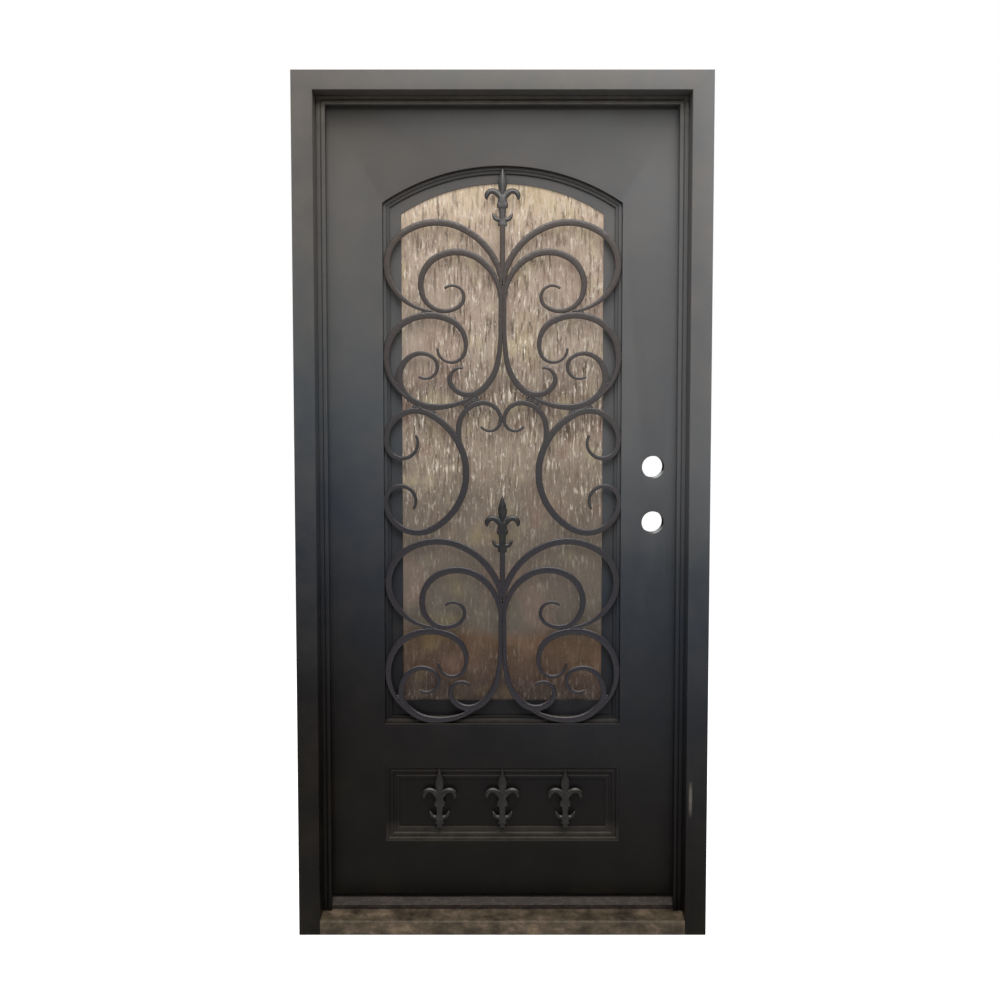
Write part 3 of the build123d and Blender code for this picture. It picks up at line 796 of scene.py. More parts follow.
def forging_tree():
    """Sweeps an eased flat bar along each line of points. The bar's half width is an attribute of its points."""
    tree, bench, given = new_tree("forge_bars", (("Depth", "Float", 12.7 * MM), ("Middle", "Float", 0.0),
                                                 ("Easing", "Float", 0.24), ("Finish", "Material", None)))
    line = bench.add("GeometryNodeMeshToCurve", {}, {"Mesh": given})
    line = bench.add("GeometryNodeSetCurveNormal", {"mode": "FREE"}, {"Curve": line, "Normal": (0, 1, 0)})
    square = bench.add("GeometryNodeCurvePrimitiveQuadrilateral", {}, {"Width": 2.0, "Height": 2.0})
    section = bench.add("GeometryNodeFilletCurve", {"mode": "POLY"},
                        {"Curve": square, "Count": 3, "Radius": given.other("Easing")})
    half = bench.add("GeometryNodeInputNamedAttribute", {"data_type": "FLOAT"}, {"Name": "half_width"})
    bar = bench.add("GeometryNodeCurveToMesh", {},
                    {"Curve": line, "Profile Curve": section, "Scale": half, "Fill Caps": True})
    parts = bench.add("ShaderNodeSeparateXYZ", {}, {"Vector": bench.add("GeometryNodeInputPosition")})
    depth = parts.other("Y") / half * (given.other("Depth") / 2) + given.other("Middle")
    point = bench.add("ShaderNodeCombineXYZ", {}, {"X": parts.other("X"), "Y": depth, "Z": parts.other("Z")})
    bar = bench.add("GeometryNodeSetPosition", {}, {"Geometry": bar, "Position": point})
    close_tree(bench, bar, given)
    return tree


def repeating_tree():
    """Sets a copy of one shape on every point, each turned and shrunk a little by a fixed seed."""
    tree, bench, given = new_tree("set_copies", (("Pattern", "Object", None), ("Turn", "Float", 0.0),
                                                 ("Smallest", "Float", 1.0), ("Seed", "Int", 7),
                                                 ("Finish", "Material", None)))
    shape = bench.add("GeometryNodeObjectInfo", {}, {"Object": given.other("Pattern")}, "Geometry")
    most = given.other("Turn")
    spin, size = (bench.add("FunctionNodeRandomValue", {"data_type": "FLOAT"},
                            {"Min_001": least, "Max_001": greatest, "Seed": given.other("Seed")}, "Value_001")
                  for least, greatest in ((most * -1, most), (given.other("Smallest"), 1.0)))
    turn = bench.add("ShaderNodeCombineXYZ", {}, {"Y": spin})
    copies = bench.add("GeometryNodeInstanceOnPoints", {},
                       {"Points": given, "Instance": shape, "Rotation": turn, "Scale": size})
    close_tree(bench, copies, given)
    return tree


def copies_at(name, shape, points, finish, turn=0.0, smallest=1.0, crease=35):
    """One mesh of a shape set at every point."""
    pattern = linked("pattern", shape)
    spots = bpy.data.meshes.new("spots")
    spots.from_pydata(points, [], [])
    made = worked(name, spots, repeating_tree(), pattern=pattern, turn=turn, smallest=smallest, finish=finish)
    bpy.data.objects.remove(pattern)
    return shaded(made, crease)


class DOOR_OT_frame(bpy.types.Operator):
    """Weld the jambs and header into one painted frame"""
    bl_idname = "door.frame"
    bl_label = "Door frame"

    def execute(self, context):
        def outline(u):
            return [(-half_frame + u, 0), (-half_door - u, 0), (-half_door - u, door_head + u),
                    (half_door + u, door_head + u), (half_door + u, 0), (half_frame - u, 0),
                    (half_frame - u, frame_head - u), (-half_frame + u, frame_head - u)]
        mesh = sheet_shell("welded_frame", [outline], frame_front, frame_back, settings("door_edges").sheet)
        fitted("welded_frame", mesh, bronze_paint("frame"), "jamb_left", "jamb_right", "header", body="frame")
        repaint(sill_finish(), "threshold")
        return {"FINISHED"}


class DOOR_OT_stop(bpy.types.Operator):
    """Run the stepped stop and its seal round the inside of the frame"""
    bl_idname = "door.stop"
    bl_label = "Stop and seal"

    def execute(self, context):
        def outline(u):
            return [(-half_door + u, tread), (-half_door + u, door_head - u), (half_door - u, door_head - u),
                    (half_door - u, tread)]
        wide = half_door - stop_inner
        corners = stepped(stop_face, (0, 2.5), (9.5, 2.5), (9.5, 5), (12, 5), (12, 0))
        corners += [(wide, stop_face), (wide, stop_back), (0, stop_back)]
        mesh = moulding("stop_moulding", outline, eased(corners, 1.2 * MM), closed=False)
        fitted("stop_moulding", mesh, bronze_paint("stop"), "stop_left", "stop_right", "stop_head", body="frame")
        self.seal()
        return {"FINISHED"}

    def seal(self):
        """A hollow bulb seal, pressed by the closed leaf."""
        low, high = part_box("weatherstrip")

        def outline(u):
            return [(low.x + u, low.z), (low.x + u, high.z - u), (high.x - u, high.z - u), (high.x - u, low.z)]
        wide = 9 * MM
        corners = [(0, low.y), (wide * 0.5, low.y), (wide, low.y + 1.2 * MM), (wide, high.y - 1.2 * MM),
                   (wide * 0.6, high.y), (wide * 0.25, high.y - 1 * MM), (0, low.y + 2 * MM)]
        mesh = moulding("bulb_seal", outline, eased(corners, 1.2 * MM), closed=False)
        fitted("bulb_seal", mesh, seal_rubber(), "weatherstrip", body="frame", slot="seal_rubber")


class DOOR_OT_leaf(bpy.types.Operator):
    """Fold and weld the leaf's skin, with its window, kick opening and lock bores"""
    bl_idname = "door.leaf"
    bl_label = "Leaf"

    def execute(self, context):
        bores = [mount for mount in frame["record"]["mounts"] if mount["kind"] == "bore"]
        outlines = [box_outline(half_leaf, leaf_foot, leaf_head), grown(arched_outline()),
                    grown(box_outline(half_window, kick_foot, kick_head))]
        for bore in bores:
            x, _, z = bore["pos_m"]
            outlines.append(round_hole(x, z, bore["dims"]["r_mm"] * MM))
        mesh = sheet_shell("leaf_skin", outlines, leaf_front, leaf_back, settings("door_edges").sheet)
        mesh = self.bored(mesh, [bore["pos_m"][2] for bore in bores])
        fitted("leaf_skin", mesh, bronze_paint("leaf"), "stile_hinge_side", "stile_lock_side", "top_rail",
               "middle_rail", "bottom_rail")
        repaint(bronze_paint("leaf"), "kick_panel")
        repaint(seal_rubber(), "door_sweep")
        return {"FINISHED"}

    def bored(self, mesh, heights):
        """Drill the two bolt holes in the leaf's free edge, from outside it."""
        radius, reach, outside = 12.7, 70, 10 * MM
        start = half_leaf + outside - reach * MM
        lengthways = Vector((1, 0, 0)).to_track_quat("Z", "Y")
        drill = ((0, 0), (radius, 0), (radius, reach), (0, reach))
        leaf = linked("leaf_blank", mesh)
        drills = linked("drills", gathered("drills", [
            turned(drill, (start, (leaf_front + leaf_back) / 2, z), lengthways) for z in heights]))
        cut = leaf.modifiers.new("bore", "BOOLEAN")
        cut.operation = "DIFFERENCE"
        cut.solver = "EXACT"
        cut.object = drills
        made = applied(leaf)
        bpy.data.objects.remove(drills)
        return shaded(made, 40)


class DOOR_OT_window_frame(bpy.types.Operator):
    """Run the stepped trim, the sash, its glazing bead and the spacer round the arched window"""
    bl_idname = "door.window_frame"
    bl_label = "Window mouldings"

    def execute(self, context):
        flat, lifted = arched_outline(), arched_outline(20 * MM)
        rebate = glass_edge - 0.3 * MM
        rebate_face = sash_face + 5 * MM
        spacer_rear = glass_rear + 5 * MM
        trim = stepped(trim_face, (0, 0), (8, 0), (8, 5), (16, 5)) + [(16 * MM, trim_back), (0, trim_back)]
        sash = [(sash_edge, sash_face), (daylight, sash_face), (daylight, rebate_face), (rebate, rebate_face),
                (rebate, leaf_back), (sash_edge, leaf_back)]
        bead = [(glass_edge, inner_glass_rear), (daylight, inner_glass_rear), (daylight, leaf_back - 1 * MM),
                (daylight - 2 * MM, leaf_back), (glass_edge, leaf_back)]
        spacer = [(glass_edge, glass_rear), (spacer_edge, glass_rear), (spacer_edge, spacer_rear),
                  (glass_edge, spacer_rear)]
        for name, family, paint, outline, corners, radius in (
                ("window_trim_moulding", "window_trim", "trim", flat, trim, settings("door_edges").section),
                ("sash_frame", "sash", "sash", lifted, sash, 1.2 * MM),
                ("glazing_bead_run", "glazing_bead", "moulding", lifted, bead, 0.5 * MM)):
            nodes = [f"{family}_{side}" for side in ("sides", "bottom", "arch")]
            fitted(name, moulding(name, outline, eased(corners, radius)), bronze_paint(paint), *nodes)
        fitted("pane_spacer", moulding("spacer", lifted, eased(spacer, 0.4 * MM)), spacer_finish(), "glass_spacer",
               slot="spacer_aluminium")
        return {"FINISHED"}


# In millimetres
kick_moulding_width = 34.5


class DOOR_OT_kick_moulding(bpy.types.Operator):
    """Run the stepped moulding round the kick panel"""
    bl_idname = "door.kick_moulding"
    bl_label = "Kick moulding"

    def execute(self, context):
        corners = stepped(leaf_front, (0, 0.5), (7, 1.6), (8.5, 5.5), (12, 5), (12.5, 3.5), (18.5, 5), (20, 8.5),
                          (25.5, 8), (26, 6.5), (kick_moulding_width, 9))
        corners = [(0, kick_face)] + corners + [(kick_moulding_width * MM, kick_face)]
        mesh = moulding("kick_moulding_run", box_outline(half_window, kick_foot, kick_head), eased(corners, 0.9 * MM))
        fitted("kick_moulding_run", mesh, bronze_paint("moulding"), "kick_moulding_rails", "kick_moulding_sides")
        return {"FINISHED"}


# The pattern of the forged bars is drawn up from the middle of the window's bottom edge, in units of its own, and its
# lower motif repeats the upper one. The widths of its bars are in millimetres.
pattern_half_width = 100
pattern_height = 469.5
motif_pitch = 267.0
junction = (-1.67, 358.6)
upper = (0,)
lower = (motif_pitch,)
both = upper + lower

# A bar of the left half: its start, its heading in degrees, its arcs as (radius, sweep) pairs, where a straight run
# is (None, length), its widths in millimetres between them, and which of its ends are loose.
crown_scroll = ((-0.7, 371.4), 92, ((47.7, 24), (59.6, 43), (48.6, 55), (32.7, 77), (41.3, 64)),
                (9.4, 15, 16, 16, 16, 6), "end")
inner_spiral = (junction, 90, ((42.0, 54), (33.4, 64), (26.5, 77), (20.0, 112), (9.6, 181)),
                (9.4, 16, 16, 13, 9.4, 6), "end")
belly_scroll = ((-80.6, 277.7), 140, ((57.3, -12), (40.3, -48), (33.8, -60), (40.6, -46), (22.7, -80), (11.7, -161)),
                (6, 9.4, 16, 16, 16, 9.4, 6), "end")
curled_scroll = ((-69.6, 294.9), -30, ((10.0, 175), (16.5, 75), (21.4, 97), (33.4, 39), (57.2, 30), (80, 6)),
                 (6, 9.4, 13, 16, 16, 9.4, 6), "start")
split_arcs = ((None, 26.2), (140.9, -10), (40.6, -39), (17.2, -97))
split_widths = (9.4, 9.4, 13, 16, 13, 6)
split_bar = (junction, -90, split_arcs + ((9.6, -129),), split_widths, "end")
lower_split_bar = (junction, -90, split_arcs + ((9.6, -165),), split_widths, "end")
small_curl = ((-17.6, 252.8), -48, ((9.3, 142), (14.8, 94), (21.7, 80), (51.0, 27)), (6, 9.4, 13, 13, 6), "both")
c_scroll = ((-72.7, 245.3), -64, ((13.1, -194), (24.8, -129), (57.2, -52), (53.0, -74), (26.9, -116), (12.7, -210)),
            (6, 13, 16, 16, 16, 13, 6), "both")


def pattern_stretch():
    """Metres for each unit of the pattern, across and up."""
    return half_window / pattern_half_width, (window_head - window_foot) / pattern_height


def stations(bar, drop=0.0):
    """Points along a bar's middle line and its half width at each, in metres."""
    start, heading, arcs, widths, loose = bar
    across, upward = pattern_stretch()
    step_length = settings("door_ironwork").flat
    x, z = start
    angle = radians(heading)
    line = [(x, z, widths[0])]
    for (radius, sweep), first, last in zip(arcs, widths, widths[1:]):
        run = sweep if radius is None else radius * abs(radians(sweep))
        count = ceil(run * across / step_length)
        turn = 0 if radius is None else radians(sweep) / count
        chord = sweep / count if radius is None else 2 * radius * sin(abs(turn) / 2)
        for step in range(1, count + 1):
            x += chord * cos(angle + turn / 2)
            z += chord * sin(angle + turn / 2)
            angle += turn
            line.append((x, z, first + (last - first) * step / count))
    placed = [((px * across, 0, window_foot + (pz - drop) * upward), width * MM / 2) for px, pz, width in line]
    return rounded_ends(placed, loose)


def rounded_ends(line, loose):
    """Round off the loose ends of a bar in its last few millimetres."""
    thinnest = 0.05 * MM
    for side, take in (("start", 1), ("end", -1)):
        if loose not in (side, "both"):
            continue
        run = line[::take]
        (first, half), (second, _) = run[:2]
        inwards = (Vector(second) - Vector(first)).normalized()
        cap = []
        for share_along in (0.12, 0.35, 0.7):
            cap.append((tuple(Vector(first) - inwards * half * (1 - share_along)),
                        half * sqrt(1 - (1 - share_along) ** 2) + thinnest))
        line = (cap + run)[::take]
    return line


def flipped(line):
    return [((-x, y, z), half) for (x, y, z), half in line]


def bar_mesh(lines):
    """Bare lines of points that carry the bars' half widths."""
    verts = []
    edges = []
    halves = []
    for line in lines:
        edges += [(len(verts) + i, len(verts) + i + 1) for i in range(len(line) - 1)]
        verts += [point for point, half in line]
        halves += [half for point, half in line]
    mesh = bpy.data.meshes.new("bar_lines")
    mesh.from_pydata(verts, edges, [])
    mesh.attributes.new("half_width", "FLOAT", "POINT").data.foreach_set("value", halves)
    return mesh


class DOOR_OT_scrollwork(bpy.types.Operator):
    """Forge the scrolls, split bars and stems in the window"""
    bl_idname = "door.scrollwork"
    bl_label = "Forged scrollwork"

    def execute(self, context):
        tree = forging_tree()
        kinds = {"inner_spirals": [(inner_spiral, both)],
                 "split_bars": [(split_bar, upper), (lower_split_bar, lower)],
                 "crown_scrolls": [(crown_scroll, both)],
                 "belly_scrolls": [(belly_scroll, both)],
                 "curled_scrolls": [(curled_scroll, both)],
                 "c_scrolls": [(c_scroll, upper)],
                 "small_curls": [(small_curl, upper)]}
        lines = {node: self.all_of(bars) for node, bars in kinds.items()}
        lines["stem_bars"] = self.stems()
        for order, (node, runs) in enumerate(lines.items()):
            self.forge(tree, node, runs, order * 0.07 * MM)
        return {"FINISHED"}

    def all_of(self, bars):
        """Each bar in each of its motifs, with its mirror image."""
        lines = [stations(bar, drop) for bar, drops in bars for drop in drops]
        return lines + [flipped(line) for line in lines]

    def stems(self):
        """The upright bars under the two castings, which they reach into."""
        half = 12.7 * MM / 2
        into = 2 * MM
        _, upward = pattern_stretch()
        fork = window_foot + junction[1] * upward
        return [[((0, 0, fork), half), ((0, 0, highest("stem_bars").z + into), half)],
                [((0, 0, fork - motif_pitch * upward), half), ((0, 0, lowest("window_fleurs").z + into), half)]]

    def forge(self, tree, node, lines, setback):
        middle = (bars_front + bars_back) / 2 + setback
        mesh = worked(node, bar_mesh(lines), tree, depth=bars_back - bars_front - 2 * setback, middle=middle,
                      easing=settings("door_ironwork").easing, finish=forged_paint())
        fitted("forged_" + node, shaded(mesh, 50), forged_paint(), node)


def petal(spine, widths, depths, square=2.0, steps=20):
    """A closed swelling along a bent line: its (x, z) places with half widths, half depths and how square it is."""
    def squared(part):
        return copysign(abs(part) ** (2 / square), part)
    loops = []
    for index, (x, z) in enumerate(spine):
        before = spine[max(index - 1, 0)]
        after = spine[min(index + 1, len(spine) - 1)]
        angle = atan2(after[1] - before[1], after[0] - before[0])
        loop = []
        for step in range(steps):
            around = 2 * pi * step / steps
            side = squared(cos(around)) * widths[index]
            loop.append(Vector((x - side * sin(angle), squared(sin(around)) * depths[index], z + side * cos(angle))))
        loops.append(loop)
    return capped(loops)


def along(points, count=14):
    """A smooth line through a few (x, z, half width, half depth) points."""
    line = []
    for index in range(count):
        place = index / (count - 1) * (len(points) - 1)
        cell = min(int(place), len(points) - 2)
        t = place - cell
        around = [points[max(cell - 1, 0)], points[cell], points[cell + 1], points[min(cell + 2, len(points) - 1)]]
        line.append([0.5 * (2 * b + (c - a) * t + (2 * a - 5 * b + 4 * c - d) * t * t
                            + (3 * b - a - 3 * c + d) * t ** 3) for a, b, c, d in zip(*around)])
    return line


def swelling(points, square=2.0, mirrored=False):
    """A petal through a few (x, z, half width, half depth) points, in millimetres from the casting's foot."""
    line = along(points)
    sign = -1 if mirrored else 1
    spine = [(sign * x * MM, z * MM) for x, z, wide, deep in line]
    wide, deep = ([max(half, 0.2) * MM for half in halves] for halves in list(zip(*line))[2:])
    return petal(spine, wide, deep, square=square)


def casting_mesh():
    """One cast fleur, its foot at the origin and its middle plane at depth 0, fused into a single skin."""
    parts = [swelling([(0, 62, 5, 4.4), (0, 78, 7.2, 5.2), (0, 98, 11.4, 5.4), (0, 112, 10.2, 5), (0, 127, 5.6, 3.6),
                       (0, 140, 0.5, 0.8)], 1.5),
             swelling([(0, 79, 3, 4.6), (0, 68, 9.4, 5.6), (0, 55, 12.4, 5.8), (0, 52, 12, 5.4)], 2.6),
             swelling([(0, 43.4, 12.2, 5), (0, 45, 13.6, 5.7), (0, 54, 13.6, 5.7), (0, 55.6, 12.2, 5)], 4.5),
             swelling([(0, 9, 7.4, 4.6), (0, 28, 7.9, 4.8), (0, 47, 9.6, 5)], 3),
             swelling([(0, 0, 11.2, 5.2), (0, 3.5, 11.6, 5.4), (0, 10, 9.4, 5), (0, 17, 7.6, 4.6)], 3)]
    for mirrored in (False, True):
        parts.append(swelling([(3, 62, 4.5, 4.2), (8.5, 73, 7, 4.8), (18, 82.5, 7.2, 5), (29, 83.5, 6.8, 5),
                               (37, 76.5, 6.6, 4.8), (38.6, 68, 4.6, 3.8), (36.6, 62.6, 1.2, 1.6)], 1.8, mirrored))
        parts.append(swelling([(4, 17.5, 6, 4), (11, 15.5, 5.6, 4.2), (17.5, 18.5, 5.2, 4), (22, 26, 3.8, 3.2),
                               (24.4, 33, 0.6, 0.8)], 1.8, mirrored))
    return fused(gathered("casting", parts, 80), settings("door_ironwork").casting_grain)


def fused(mesh, cell):
    """Melt overlapping parts into one skin and smooth it as sand casting does."""
    blank = linked("casting_blank", mesh)
    remesh = blank.modifiers.new("fuse", "REMESH")
    remesh.mode = "VOXEL"
    remesh.voxel_size = cell
    remesh.use_smooth_shade = True
    smooth = blank.modifiers.new("smooth", "SMOOTH")
    smooth.factor = 0.5
    smooth.iterations = 4
    return applied(blank)


class DOOR_OT_castings(bpy.types.Operator):
    """Cast the fleurs of the window and the kick panel"""
    bl_idname = "door.castings"
    bl_label = "Cast fleurs"

    def execute(self, context):
        tall = 140 * MM
        half_depth = 5.7 * MM
        pitch = 156.4 * MM
        low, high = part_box("window_fleurs")
        middle = (bars_front + bars_back) / 2
        mesh = self.cast("window_castings", [(0, middle, high.z - tall), (0, middle, low.z)])
        fitted("window_castings", mesh, cast_paint(), "window_fleurs")
        low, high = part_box("kick_fleurs")
        spots = [(place * pitch, low.y + half_depth, high.z - tall) for place in (-1, 0, 1)]
        mesh = self.cast("kick_castings", spots)
        stubs = gathered("stubs", [self.stub(*spot) for spot in spots])
        work = bmesh.new()
        work.from_mesh(mesh)
        work.from_mesh(stubs)
        work.to_mesh(mesh)
        work.free()
        fitted("kick_castings", shaded(mesh, 60), cast_paint(), "kick_fleurs")
        return {"FINISHED"}

    def cast(self, name, spots):
        return copies_at(name, casting_mesh(), spots, cast_paint(), crease=180)

    def stub(self, x, depth, foot):
        """The short bar between a kick casting and the moulding under it, down to the panel."""
        low = kick_foot + kick_moulding_width * MM
        high = foot + 4 * MM
        half = 6.35 * MM
        corners = eased([(x - half, low), (x + half, low), (x + half, high), (x - half, high)], 0.8 * MM)
        return capped([[(px, y, pz) for px, pz in corners] for y in (depth, kick_face)])


class DOOR_OT_welds(bpy.types.Operator):
    """Lay the weld beads where bars meet each other and the leaf"""
    bl_idname = "door.welds"
    bl_label = "Weld beads"

    front = bars_front + 3.4 * MM
    back = bars_back - 3 * MM

    def execute(self, context):
        bead = turned([(0, -3.6), (2.2, -3), (3.8, -1), (3.9, 1), (2.4, 3), (0, 3.6)], steps=14)
        spots = []
        for bar, drops in ((crown_scroll, both), (belly_scroll, both), (curled_scroll, both), (c_scroll, upper),
                           (small_curl, upper)):
            for drop in drops:
                line = stations(bar, drop)
                spots += self.side_contacts(line) + self.end_contacts(line, bar[-1])
        for first, second, widest, drops in ((belly_scroll, curled_scroll, 5, both),
                                             (belly_scroll, crown_scroll, 5, both),
                                             (c_scroll, curled_scroll, 9, upper),
                                             (small_curl, split_bar, 11, upper),
                                             (small_curl, curled_scroll, 11, upper),
                                             (curled_scroll, split_bar, 6, upper),
                                             (curled_scroll, lower_split_bar, 6, lower)):
            for drop in drops:
                spots += self.seam(stations(first, drop), stations(second, drop), widest * MM)
        spots += [(-x, y, z) for x, y, z in spots]
        mesh = copies_at("weld_beads", gathered("bead", [bead], 70), spots, forged_paint(), turn=0.9, smallest=0.7,
                         crease=70)
        fitted("weld_beads", mesh, forged_paint())
        return {"FINISHED"}

    def side_contacts(self, line):
        """A run of three beads where a bar's outermost point meets the side of the opening."""
        (x, _, z), half = min(line, key=lambda item: item[0][0] - item[1])
        if x - half > -half_window + 3 * MM:
            return []
        return [(-half_window + 1 * MM, self.back, z + lift * MM) for lift in (-7, 0, 7)]

    def seam(self, line, beside, widest):
        """Beads over the gap between two bars where they run together."""
        bead_reach = 5 * MM
        closest = 3.4 * MM
        spots = []
        for (x, _, z), half in line:
            (far_x, _, far_z), far_half = min(beside, key=lambda item: (item[0][0] - x) ** 2 + (item[0][2] - z) ** 2)
            apart = sqrt((far_x - x) ** 2 + (far_z - z) ** 2)
            gap = apart - half - far_half
            if not 0 < gap < widest:
                continue
            rows = ceil(gap / bead_reach)
            for row in range(rows):
                reach = (half + gap * (row + 0.5) / rows) / apart
                spot = Vector((x + (far_x - x) * reach, self.front, z + (far_z - z) * reach))
                if all((spot - kept).length > closest for kept in spots):
                    spots.append(spot)
        return [tuple(spot) for spot in spots]

    def end_contacts(self, line, loose):
        """A pair of beads at each end that isn't loose."""
        spots = []
        for side, point in (("start", line[0]), ("end", line[-1])):
            if loose not in (side, "both"):
                (x, _, z), half = point
                spots += [(x - 3 * MM, self.back, z), (x - 1 * MM, self.front, z + 3 * MM)]
        return spots


class DOOR_OT_glass(bpy.types.Operator):
    """Cast the rain glass and set the clear inner pane"""
    bl_idname = "door.glass"
    bl_label = "Glass"

    def execute(self, context):
        fitted("rain_pane", self.rain_pane(columns=230, rows=250), rain_glass_finish(), "rain_glass", slot="rain_glass")
        repaint(clear_glass_finish(), "inner_glass")
        return {"FINISHED"}

    def rain_pane(self, columns, rows):
        """A pane whose outer face runs with rain: long wavering runnels with drops strung along them."""
        half = half_window - glass_edge
        foot = lowest("rain_glass").z
        _, radius, centre = arch_over(glass_edge, True)
        loops = []
        for row in range(rows + 1):
            loop = []
            for column in range(columns + 1):
                x = -half + 2 * half * column / columns
                head = centre + sqrt(radius ** 2 - x ** 2)
                z = foot + (head - foot) * row / rows
                fade = min(min(column, columns - column, row, rows - row) / 3, 1)
                loop.append((x, glass_face + fade * self.relief(x, z), z))
            loops.append(loop)
        verts, faces = bridged(loops, False, section_closed=False)
        wide = columns + 1
        rim = list(range(wide)) + [row * wide + columns for row in range(1, rows + 1)]
        rim += [rows * wide + column for column in range(columns - 1, -1, -1)]
        rim += [row * wide for row in range(rows - 1, 0, -1)]
        first = len(verts)
        count = len(rim)
        verts += [(verts[index][0], glass_rear, verts[index][2]) for index in rim]
        faces += [(rim[i], rim[(i + 1) % count], first + (i + 1) % count, first + i) for i in range(count)]
        faces.append([first + i for i in range(count)])
        return shaded(in_mesh("rain_pane", verts, faces), 50)

    def relief(self, x, z):
        """How far the glass is hollowed at a point of its face."""
        glass = settings("door_glass")
        cell = glass.spacing
        runs = noise.noise(Vector((x / cell, z / (cell * 16), 0.3)))
        drops = noise.noise(Vector((x / (cell * 0.45), z / (cell * 1.6), 4.7)))
        return glass.runnel * (0.5 + 0.55 * runs + 0.3 * max(drops, 0))


class DOOR_OT_hinges(bpy.types.Operator):
    """Turn the barrel hinges with their rounded caps"""
    bl_idname = "door.hinges"
    bl_label = "Hinges"

    def execute(self, context):
        cap = [(0, 5.4), (3, 5), (6.4, 3.6), (9, 1.4), (9.6, 0.4), (9.6, -1), (0, -1)]
        for side, body, lift, turn in (("upper", "leaf", 60.3 * MM, 1), ("lower", "frame", -60 * MM, -1)):
            repaint(bronze_paint(body), body + "_hinge_knuckles")
            name = side + "_hinge_caps"
            profile = [(radius, turn * height) for radius, height in cap]
            caps = [turned(profile, (*hinge_line[:2], z + lift), steps=28) for z in hinge_heights]
            fitted(name, gathered(name, caps), bronze_paint(body), body=body)
        return {"FINISHED"}


class DOOR_OT_sash_fittings(bpy.types.Operator):
    """Finish the sash's hinges and turn buttons and drive their screws"""
    bl_idname = "door.sash_fittings"
    bl_label = "Sash fittings"

    def execute(self, context):
        repaint(bronze_paint("moulding"), "sash_hinges", "sash_latches")
        head = turned([(0, 0.9), (1.6, 0.85), (3, 0.4), (3.4, 0), (3.4, -1), (0, -1)],
                      turn=Matrix.Rotation(radians(-90), 3, "X"), steps=20)
        mesh = copies_at("sash_screws", gathered("screw", [head]), self.hinge_screws() + self.bead_screws(),
                         bare_steel(), turn=pi)
        fitted("sash_screws", mesh, bare_steel())
        return {"FINISHED"}

    def hinge_screws(self):
        """Three screws in each wing of the small butt hinges."""
        low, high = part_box("sash_hinges")
        middle = (low.x + high.x) / 2
        half_hinge = 35 * MM
        wing_face = leaf_back + 2.6 * MM
        return [(middle + side * MM, wing_face, height + lift * MM)
                for height in (low.z + half_hinge, high.z - half_hinge) for side in (-13.5, 13.5)
                for lift in (-24, 0, 24)]

    def bead_screws(self):
        """Screws that hold the glazing bead, at even steps up its sides and along its bottom."""
        centre = daylight - 6 * MM
        side = half_window - centre
        foot = window_foot + centre + sash_lift
        bead_face = leaf_back + 0.1 * MM
        heights = [foot + 90 * MM + step * 190 * MM for step in range(6)]
        spots = [(sign * side, bead_face, z) for z in heights for sign in (-1, 1)]
        return spots + [(x * MM, bead_face, foot) for x in (-160, 0, 160)]


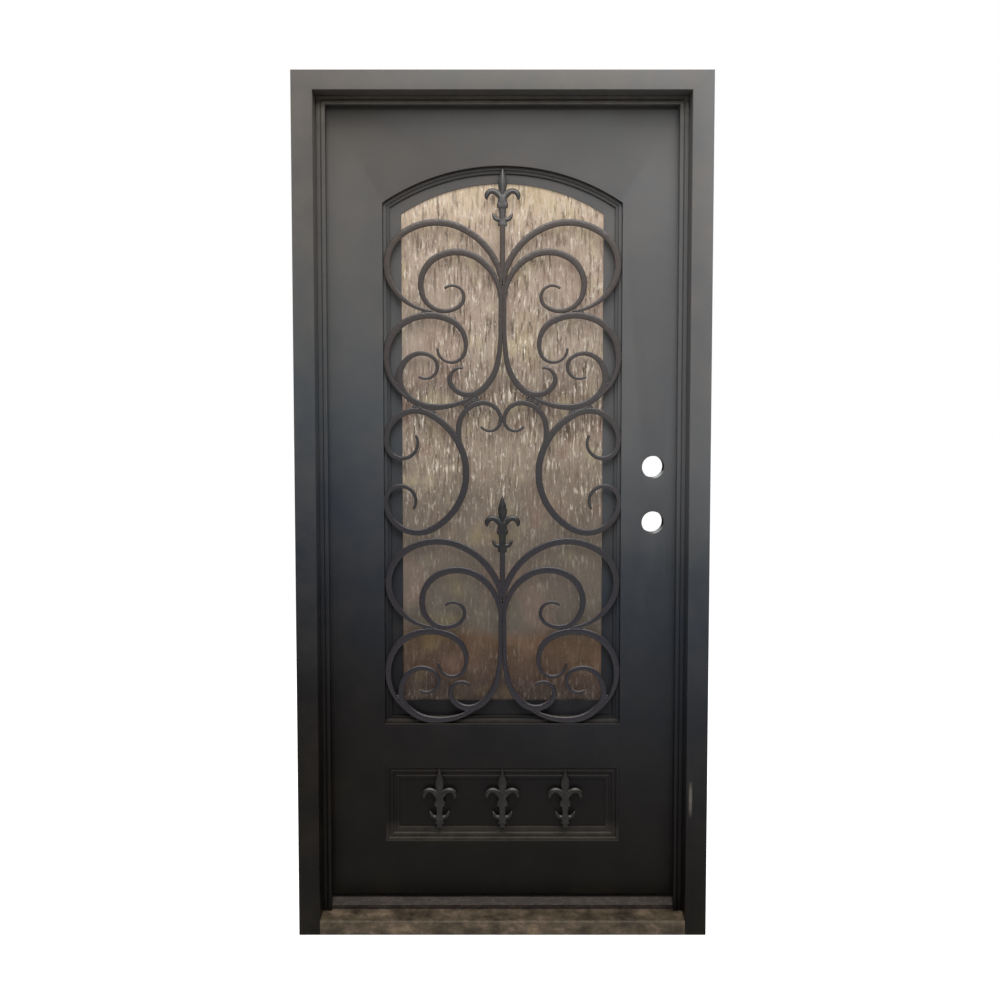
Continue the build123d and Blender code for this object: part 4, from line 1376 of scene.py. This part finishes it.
class DOOR_OT_studio(bpy.types.Operator):
    """Lay the floor and set up soft light and the camera"""
    bl_idname = "door.studio"
    bl_label = "Studio"

    def execute(self, context):
        studio = settings("door_studio")
        self.floor(half=30)
        for name, place, wide, tall, part in (("overhead_softbox", (0.2, -1.3, 3.5), 3.2, 1.2, 0.6),
                                              ("high_softbox", (0.3, -2.8, 3.2), 2.6, 1.4, 0.7),
                                              ("rear_softbox", (-0.6, 3.2, 2.8), 2.6, 2.2, 0.5)):
            self.softbox(name, place, wide, tall, studio.key * part)
        self.air(studio.sky)
        self.camera(studio)
        context.scene.view_settings.view_transform = "Standard"
        return {"FINISHED"}

    def floor(self, half):
        mesh = bpy.data.meshes.new("floor")
        mesh.from_pydata([(-half, -half, 0), (half, -half, 0), (half, half, 0), (-half, half, 0)], [], [(0, 1, 2, 3)])
        mesh.materials.append(plain_floor())
        floor = linked("floor", mesh)

    def softbox(self, name, place, wide, tall, power):
        """A soft light that is aimed at the middle of the door and that the camera doesn't see."""
        door_middle = Vector((0, 0, 1.2))
        light = bpy.data.lights.new(name, "AREA")
        light.shape = "RECTANGLE"
        light.size = wide
        light.size_y = tall
        light.energy = power
        lamp = linked(name, light)
        lamp.location = place
        lamp.rotation_mode = "QUATERNION"
        lamp.rotation_quaternion = (door_middle - Vector(place)).to_track_quat("-Z", "Y")
        lamp.visible_camera = False

    def air(self, strength):
        """Even light from all round, which the camera sees as a white wall."""
        world = bpy.data.worlds.new("studio_air")
        world.use_nodes = True
        world.node_tree.nodes.clear()
        bench = Bench(world.node_tree)
        seen = bench.add("ShaderNodeLightPath", output="Is Camera Ray")
        glow = strength + seen * (1 - strength)
        light = bench.add("ShaderNodeBackground", {}, {"Color": (1, 1, 1), "Strength": glow})
        bench.add("ShaderNodeOutputWorld", {}, {"Surface": light})
        bpy.context.scene.world = world

    def camera(self, studio):
        lens = bpy.data.cameras.new("photo_camera")
        lens.sensor_width = 36
        lens.lens = 54
        camera = linked("photo_camera", lens)
        sideways = -6 * MM
        camera.location = (sideways, -studio.camera_distance, studio.camera_height)
        camera.rotation_euler = (pi / 2 - studio.camera_pitch, 0, 0)
        bpy.context.scene.camera = camera


operators = (DOOR_OT_studio, DOOR_OT_frame, DOOR_OT_stop, DOOR_OT_leaf, DOOR_OT_window_frame, DOOR_OT_kick_moulding,
             DOOR_OT_scrollwork, DOOR_OT_castings, DOOR_OT_welds, DOOR_OT_glass, DOOR_OT_hinges,
             DOOR_OT_sash_fittings)
groups = {"door_paint": DoorPaint, "door_glass": DoorGlass, "door_ironwork": DoorIronwork, "door_edges": DoorEdges,
          "door_studio": DoorStudio}


class DOOR_PT_panel(bpy.types.Panel):
    """Sizes, colours and pieces of the door"""
    bl_idname = "DOOR_PT_panel"
    bl_label = "Iron door"
    bl_space_type = "VIEW_3D"
    bl_region_type = "UI"
    bl_category = "Iron door"

    def draw(self, context):
        for name, group in groups.items():
            box = self.layout.box()
            box.label(text=group.__doc__)
            for field in group.__annotations__:
                box.prop(getattr(context.scene, name), field)
        for operator in operators:
            self.layout.operator(operator.bl_idname)


def register():
    for made in (*groups.values(), *operators, DOOR_PT_panel):
        bpy.utils.register_class(made)
    for name, group in groups.items():
        setattr(bpy.types.Scene, name, bpy.props.PointerProperty(type=group))


def unregister():
    for name in groups:
        delattr(bpy.types.Scene, name)
    for made in reversed((*groups.values(), *operators, DOOR_PT_panel)):
        bpy.utils.unregister_class(made)


def main():
    register()
    for operator in operators:
        family, action = operator.bl_idname.split(".")
        getattr(getattr(bpy.ops, family), action)()


if __name__ == "__main__":
    main()
